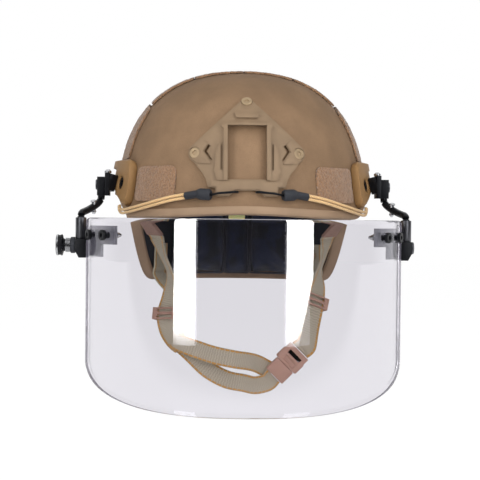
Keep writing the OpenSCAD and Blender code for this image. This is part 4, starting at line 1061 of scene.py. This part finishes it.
class HELMET_OT_add_visor_mount(HelmetOperator):
    """Adds the rail clamps, swing arms, hinges, pivot blocks and brackets with their hardware."""

    bl_idname = "helmet.add_visor_mount"
    bl_label = "Visor mount"

    def build(self, sizes):
        for side in SIDES:
            dress("rail_clamp_" + side, "black_steel", 1.6)
            dress("arm_" + side, "black_steel", 1.2, 30)
            dress("pivot_block_" + side, "black_steel", 1.8)
            dress("hinge_barrel_" + side, "grey_steel", 1.4)
            dress("visor_bracket_" + side, "bracket_steel")
        dress("tilt_pin_left", "grey_steel", 1.2)
        dress("pivot_pins", "grey_steel")
        dress("clamp_screws", "bright_steel")
        dress("cross_pins", "bright_steel")
        dress("visor_bolts", "black_steel", 0.9)
        dress("visor_nuts", "bright_steel", 0.9)


KNOB_PLACE = np.array([0, -79, -29.5])
KNOB_PULL, KNOB_SIDES, RIB_DEPTH, RIBBED = 4, 88, 0.25, (29, 30)
BLOCK_WIDE = 9.8
BLOCK_IN = VISOR_HALF + GAP + 0.1


class HELMET_OT_add_index_knob(HelmetOperator):
    """Adds the index knob with its ribbed neck, and the collar behind it."""

    bl_idname = "helmet.add_index_knob"
    bl_label = "Index knob"

    def build(self, sizes):
        ear_in = BLOCK_IN - GAP - 0.2 - KNOB_PULL - 4.3
        neck = BLOCK_IN + BLOCK_WIDE + KNOB_PULL + GAP
        head = neck + 4.8
        neck_rings = [(neck + 0.9 * k + far, r) for k in range(5)
                      for far, r in ((0.05, 5.8), (0.2, 6.4), (0.6, 6.4), (0.75, 5.8))]
        cap = [(-0.2, 5.2), (1.2, 6.0), (1.9, 8.8), (2.4, 9.4), (3.2, 9.4), (3.5, 8.9), (5.6, 8.9),
               (5.9, 9.4), (6.9, 9.4), (7.4, 8.9), (7.6, 8.2), (7.6, 6.2), (7.1, 5.8), (7.1, 2.4)]
        profile = [(ear_in, 2.2), (ear_in + 0.4, 2.6), (neck, 2.6), *neck_rings,
                   *((head + far, r) for far, r in cap)]
        knob = turned("index_knob_turned", profile, KNOB_PLACE, KNOB_SIDES, sizes.knob_ribs,
                      RIB_DEPTH, RIBBED)
        # Painted highlights: the outer ring of the cap and the tops of the neck's rings get bright
        # steel, and the rest of the knob black steel
        wear(knob, "bright_steel", "black_steel")
        for face in knob.data.polygons:
            far, y, z = (np.array(face.center) / MM - KNOB_PLACE) * [-1, 1, 1]
            bright = head + 5.8 < far < head + 7 or far < head and math.hypot(y, z) > 6.2
            face.material_index = 0 if bright else 1
        finish_piece(knob, "index_knob", degrees=35, body="index_knob")
        dress("knob_collar", "black_moulding", 1.2)


STRAP_W, STRAP_T, CUP_W = 20.0, 1.8, 16.5
KEEPER_W, KEEPER_T = STRAP_W + 3, 2.6
BUCKLE_LEN, BUCKLE_T = 32.0, 9.0
BUCKLE = np.array([40.1, -64.0, -134.5])
BUCKLE_DIR = np.array([math.sqrt(0.5), 0, math.sqrt(0.5)])
SLIDE_T = STRAP_T + 5.8
TEMPLE_PHI, NAPE_PHI = 65, 131  # angles from the front at which the straps hang
FRONT_ROWS, REAR_ROWS, UPPER_ROWS, LOWER_ROWS, TAB_ROWS = 140, 130, 80, 90, 40


def behind_shell(thick):
    return WALL + PAD_GAP + thick / 2


def behind_trim(thick):
    return WALL + GAP / 2 + TRIM_WALL + 4 * GAP + thick / 2


def keeper_line():
    """Route and width directions of the tab that hangs at the temple."""
    deep = behind_shell(KEEPER_T)
    low = behind_trim(KEEPER_T) + GAP
    route = [dome(TEMPLE_PHI, t_at(z), -d)
             for z, d in ((33, deep), (25, deep), (17, deep + 1), (10, low), (3, low))]
    route += [(90.5, -46, -5), (85, -40.6, -12.5), (80, -36, -20)]
    route = np.array(route, float)
    across = np.array([dome_side(TEMPLE_PHI, t_at(max(0, p[2]))) + [0, 0, 0.016 * min(0, p[2])]
                       for p in route])
    return route, across


class HELMET_OT_add_straps(HelmetOperator):
    """Adds the front and rear straps, the temple tabs that hold them and their slides."""

    bl_idname = "helmet.add_straps"
    bl_label = "Straps"

    def build(self, sizes):
        route, across = keeper_line()
        down = unit(route[-1] - route[-2])
        level = unit(across[-1] - (across[-1] @ down) * down)
        top = [route[-1] + d * down for d in (0.6, 3.6)]
        for side, flip in SIDES.items():
            keeper = band("temple_tab_" + side, route * flip, across * flip, KEEPER_W, KEEPER_T,
                          TAB_ROWS)
            finish_piece(keeper, "keeper_" + side, "keeper_tape")
        flip = SIDES["right"]
        half = BUCKLE_LEN / 2
        right = [top[1] * flip, (-73, -35, -38), (-66, -37, -56), (-65, -41, -76),
                 (-69, -43.6, -92), (-67, -47, -104), (-62, -51, -112.4), (-57, -55.4, -117)]
        right_across = [level * flip, (-0.3, 1, -0.1), (-0.3, 1, 0), (-0.8, 0.6, 0),
                        (-0.8, 0.5, -0.1), (-0.8, 0.4, -0.5), (-0.5, 0.1, -0.9), (-0.3, -0.1, -1)]
        left = [top[1], (75.5, -35, -38), (71.5, -37, -52), (70, -40, -66), (66.5, -44, -81),
                (61.5, -53.5, -101), *(BUCKLE + (half + far) * BUCKLE_DIR for far in (9, 3))]
        left_across = [level, (0.3, 1, -0.1), (0.3, 1, 0), (0.7, 0.7, 0), (0.9, 0.4, -0.1),
                       (0.8, 0.2, -0.4), (0.75, 0, -0.7), (0.7, 0, -0.7)]
        chin, socket = (-55.6, -56, -117.6), BUCKLE + (half + 0.5) * BUCKLE_DIR
        self.strap("front", "right", FRONT_ROWS, right, right_across, top[0] * flip, chin)
        self.strap("front", "left", FRONT_ROWS, left, left_across, top[0], socket)
        self.rear(right, right_across, 4, "right",
                  [(-73, 76, -67), (-62, 62, -75), (-53, 38, -83), (-56, 4, -90)])
        self.rear(left, left_across, 3.9, "left",
                  [(73, 76, -66), (62, 60, -71), (52, 34, -75), (52, 2, -78)])
        for side in SIDES:
            dress("adjuster_" + side, "buckle_plastic", 1.4)
        dress("strap_screws", "tan_screw", 0.9)

    def rear(self, route, across, at, name, free):
        """The strap from the nape that ends at the slide on the front strap."""
        last = len(route) - 1
        here = spline(route, at / last)
        forward = unit(spline(route, (at + 0.05) / last) - spline(route, (at - 0.05) / last))
        turn = spline(across, at / last)
        back = np.cross(forward, unit(turn - (turn @ forward) * forward))
        back = back if back[1] > 0 else -back
        end = here + (SLIDE_T / 2 + 0.8) * back
        flip = SIDES[name]
        sign = flip[0]
        deep, low = behind_shell(STRAP_T), behind_trim(STRAP_T)
        held = ((-30, deep), (-38, deep), (-46, deep + 0.5), (-53, low), (-60, low + 0.6))
        top = [dome(NAPE_PHI, t_at(z), -d) * flip for z, d in held]
        path = [*top, *free, end + 9 * back, end + 3 * back]
        widths = [dome_side(NAPE_PHI, 100) * flip] * 5
        widths += [(-sign * 0.75, 0.55, 0.3), (-sign * 0.6, 0.4, 0.6), (-sign * 0.4, 0.3, 0.9),
                   (-sign * 0.2, 0.2, 1), -forward, -forward]
        self.strap("rear", name, REAR_ROWS, path, widths, (), end)

    def strap(self, kind, side, rows, route, across, lead, tail):
        strap = band(f"{kind}_webbing_{side}", route, across, STRAP_W, STRAP_T, rows, lead, tail)
        finish_piece(strap, f"{kind}_strap_{side}", "webbing_weave")


class HELMET_OT_add_chin_cup(HelmetOperator):
    """Adds the chin cup, made of two bands of webbing."""

    bl_idname = "helmet.add_chin_cup"
    bl_label = "Chin cup"

    def build(self, sizes):
        plug_end = BUCKLE - (BUCKLE_LEN / 2 + 0.5) * BUCKLE_DIR
        behind = BUCKLE_T / 2 - 0.5 + 2 * GAP + STRAP_T / 2
        upper = [(-60.5, -54.8, -114.3), (-56, -57.4, -117.4), (-40, -62, -123), (-24, -66, -127.6),
                 (-6, -68, -131), (6, -64.5, -133), (15, -60, -136), BUCKLE + [-13, behind, -8]]
        lower = [(-54, -55.6, -119.4), (-43, -57, -129.5), (-30, -58, -141.3), (-14, -59, -149.8),
                 (2, -60.5, -152.9), (12, -62.5, -154.6), plug_end - 8 * BUCKLE_DIR,
                 plug_end - 2 * BUCKLE_DIR]
        upper_across = [(0.3, 0.1, 1)] * 3 + [(0.2, 0, 1), (0.1, 0, 1)] + [(0, 0, 1)] * 3
        lower_across = [(0.3, 0.1, 1)] * 2 + [(0.2, 0, 1), (0.1, 0, 1), (0, 0, 1), (-0.3, 0, 1),
                                              (-0.6, 0, 0.75), (-0.7, 0, 0.7)]
        cup = joined("chin_cup_webbing", [
            band("upper", upper, upper_across, CUP_W, STRAP_T, UPPER_ROWS),
            band("lower", lower, lower_across, CUP_W, STRAP_T, LOWER_ROWS, tail=plug_end)])
        finish_piece(cup, "chin_cup", "webbing_weave", 50)


class HELMET_OT_add_buckle(HelmetOperator):
    """Adds the side-release buckle."""

    bl_idname = "helmet.add_buckle"
    bl_label = "Buckle"

    def build(self, sizes):
        for part in ("buckle_socket", "buckle_plug", "release_tongue_upper",
                     "release_tongue_lower"):
            dress(part, "buckle_plastic", 2.2)


# Places and sizes in the studio are in metres
FLOOR_SIZE, FLOOR_GAP = 8, 0.0005
PAPER_GLOW, GLOW_SHARE, PAPER_DIM = 1.055, 0.92, 0.06
KEY_PLACE, KEY_SIZE = (0.25, -1.25, 1.25), (1.3, 1.0)
FILL_PLACE, FILL_SIZE = (0.05, -1.5, 0.25), (1.2, 0.9)
# Name, angle from the front, width and whether it tapers
STRIPS = (("strip_left", -36.9, 0.19, False), ("strip_right", 33.6, 0.235, True))
STRIP_FAR, STRIP_BACK, STRIP_UP, STRIP_TALL = 0.78, -0.03, 0.34, 1.04
CARD_IN_GLASS, CARD_IN_ROUGH = 30.0, 3.0
PICTURE_PX, SENSOR_MM, AIM_OFF_PX, CAMERA_Z = 480, 36, (0.8, 21), -0.005


class HELMET_OT_add_studio(Operator):
    """Adds the floor, the lights and the camera."""

    bl_idname = "helmet.add_studio"
    bl_label = "Studio"
    bl_options = {"REGISTER", "UNDO"}

    def execute(self, context):
        studio = context.scene.helmet_studio
        context.scene.view_settings.view_transform = "Standard"
        self.floor()
        self.world(studio)
        self.lights(studio)
        self.camera(studio)
        return {"FINISHED"}

    def floor(self):
        """White paper below the helmet, which mirrors see dim at the front."""
        only()
        low = cad_box[0][2] - FLOOR_GAP
        bpy.ops.mesh.primitive_plane_add(size=FLOOR_SIZE, location=(0, 0, low))
        floor = bpy.context.object
        floor.name = "studio_floor"
        shade = Shade(bpy.data.materials.new("studio_paper"))
        tone = shade.mix(shade.noise(40), (0.9,) * 3, (0.94,) * 3)
        paper = shade.node("BsdfDiffuse", {"Color": tone})
        mirrored = shade.ray("Is Glossy Ray")
        seen = shade.maths("MAXIMUM", shade.ray("Is Camera Ray"), mirrored)
        bright = shade.blend(seen * GLOW_SHARE, paper, shade.glow(PAPER_GLOW))
        front = shade.axes(shade.place())[1].between(-0.25, -0.45)
        dimmed = shade.blend(mirrored * front, bright, shade.glow(PAPER_DIM))
        floor.data.materials.append(shade.end(dimmed))

    def world(self, studio):
        """White for the camera; mirrors and glass see it white at the back and dim at the front."""
        world = bpy.context.scene.world = bpy.data.worlds.new("studio")
        shade = Shade(world)
        _, y, z = shade.axes(shade.node("TexCoord", out="Generated"))
        back, high = y.between(0.0, 0.5), z.between(0.15, 0.8)
        mirrored = shade.maths("MINIMUM", back + high * 0.5 + studio.dim, 1.0)
        seen = shade.ray("Is Camera Ray") * (1 - studio.ambient) + studio.ambient
        glossy = shade.ray("Is Glossy Ray")
        strength = seen * (1 - glossy) + mirrored * glossy
        shade.end(shade.node("Background", {"Color": WHITE, "Strength": strength}), "World")

    def lights(self, studio):
        self.lamp("key_light", KEY_PLACE, KEY_SIZE, studio.key)
        fill = self.lamp("fill_light", FILL_PLACE, FILL_SIZE, studio.fill)
        fill.visible_glossy = fill.visible_transmission = False
        for name, way, wide, taper in STRIPS:
            x, y = STRIP_FAR * float(sine(way)), STRIP_BACK - STRIP_FAR * float(cosine(way))
            lamp = self.lamp(name, (x, y, STRIP_UP), (wide, STRIP_TALL), studio.strips, level=True)
            lamp.visible_glossy = False
            self.card(name + "_mirrored", lamp, taper)

    def card(self, name, lamp, taper):
        """A card in a strip light's place that only mirrors show, brightest in the clear visor."""
        only()
        bpy.ops.mesh.primitive_plane_add(size=1)
        card = bpy.context.object
        card.name = name
        card.scale = (lamp.data.size, lamp.data.size_y, 1)
        card.rotation_euler, card.location = lamp.rotation_euler, lamp.location
        bpy.ops.object.transform_apply(location=True, rotation=True, scale=True)
        shade = Shade(bpy.data.materials.new(name))
        across, up = shade.map()
        shape = up.between(0.004, 0.045)
        if taper:
            shape = shape * (up * 6.4 + 0.42 - across).between(0.0, 0.08)
        rough, glass = shade.glow(CARD_IN_ROUGH), shade.glow(CARD_IN_GLASS)
        light = shade.blend(shade.ray("Is Singular Ray"), rough, glass)
        clear = shade.node("BsdfTransparent", {"Color": WHITE})
        card.data.materials.append(shade.end(shade.blend(shape, clear, light)))
        for kind in ("camera", "diffuse", "transmission", "shadow"):
            setattr(card, "visible_" + kind, False)

    def lamp(self, name, place, size, power, level=False):
        """A soft lamp that looks at the helmet's origin, or level at the upright axis."""
        data = bpy.data.lights.new(name, "AREA")
        data.shape = "RECTANGLE"
        data.size, data.size_y = size
        data.energy = power
        lamp = placed(name, data)
        lamp.location = place
        aim = Vector((0, 0, place[2] if level else 0)) - Vector(place)
        lamp.rotation_euler = aim.to_track_quat("-Z", "Y").to_euler()
        lamp.visible_camera = False
        return lamp

    def camera(self, studio):
        """The photograph's camera, aimed a little off the helmet's axis and below its brim."""
        focal_px = PICTURE_PX * studio.lens / SENSOR_MM
        yaw, pitch = (math.atan(off / focal_px) for off in AIM_OFF_PX)
        data = bpy.data.cameras.new("photo_camera")
        data.lens = studio.lens
        camera = placed("photo_camera", data)
        camera.location = (studio.distance * math.sin(studio.turn),
                           -studio.distance * math.cos(studio.turn), CAMERA_Z)
        camera.rotation_euler = (Matrix.Rotation(studio.turn + yaw, 4, "Z")
                                 @ Matrix.Rotation(math.radians(90) - pitch, 4, "X")
                                 @ Matrix.Rotation(studio.roll, 4, "Z")).to_euler()
        bpy.context.scene.camera = camera


PIECES = tuple(HelmetOperator.__subclasses__())


class HELMET_PT_pieces(Panel):
    """Lists the helmet's pieces, colours and sizes."""

    bl_idname = "HELMET_PT_pieces"
    bl_label = "Ballistic helmet"
    bl_space_type = "VIEW_3D"
    bl_region_type = "UI"
    bl_category = "Helmet"

    def draw(self, context):
        for operator in (HELMET_OT_add_studio, *PIECES):
            self.layout.operator(operator.bl_idname)
        for group in (context.scene.helmet_colours, context.scene.helmet_sizes,
                      context.scene.helmet_studio):
            box = self.layout.box()
            for name in group.__annotations__:
                box.prop(group, name)


GROUPS = {"helmet_colours": HelmetColours, "helmet_sizes": HelmetSizes,
          "helmet_studio": HelmetStudio}
CLASSES = (*GROUPS.values(), HELMET_OT_add_studio, *PIECES, HELMET_PT_pieces)


def register():
    for each in CLASSES:
        bpy.utils.register_class(each)
    for name, group in GROUPS.items():
        setattr(bpy.types.Scene, name, PointerProperty(type=group))


def unregister():
    for name in GROUPS:
        delattr(bpy.types.Scene, name)
    for each in reversed(CLASSES):
        bpy.utils.unregister_class(each)


def main():
    register()
    for operator in (HELMET_OT_add_studio, *PIECES):
        getattr(bpy.ops.helmet, operator.bl_idname.split(".")[1])()


if __name__ == "__main__":
    main()
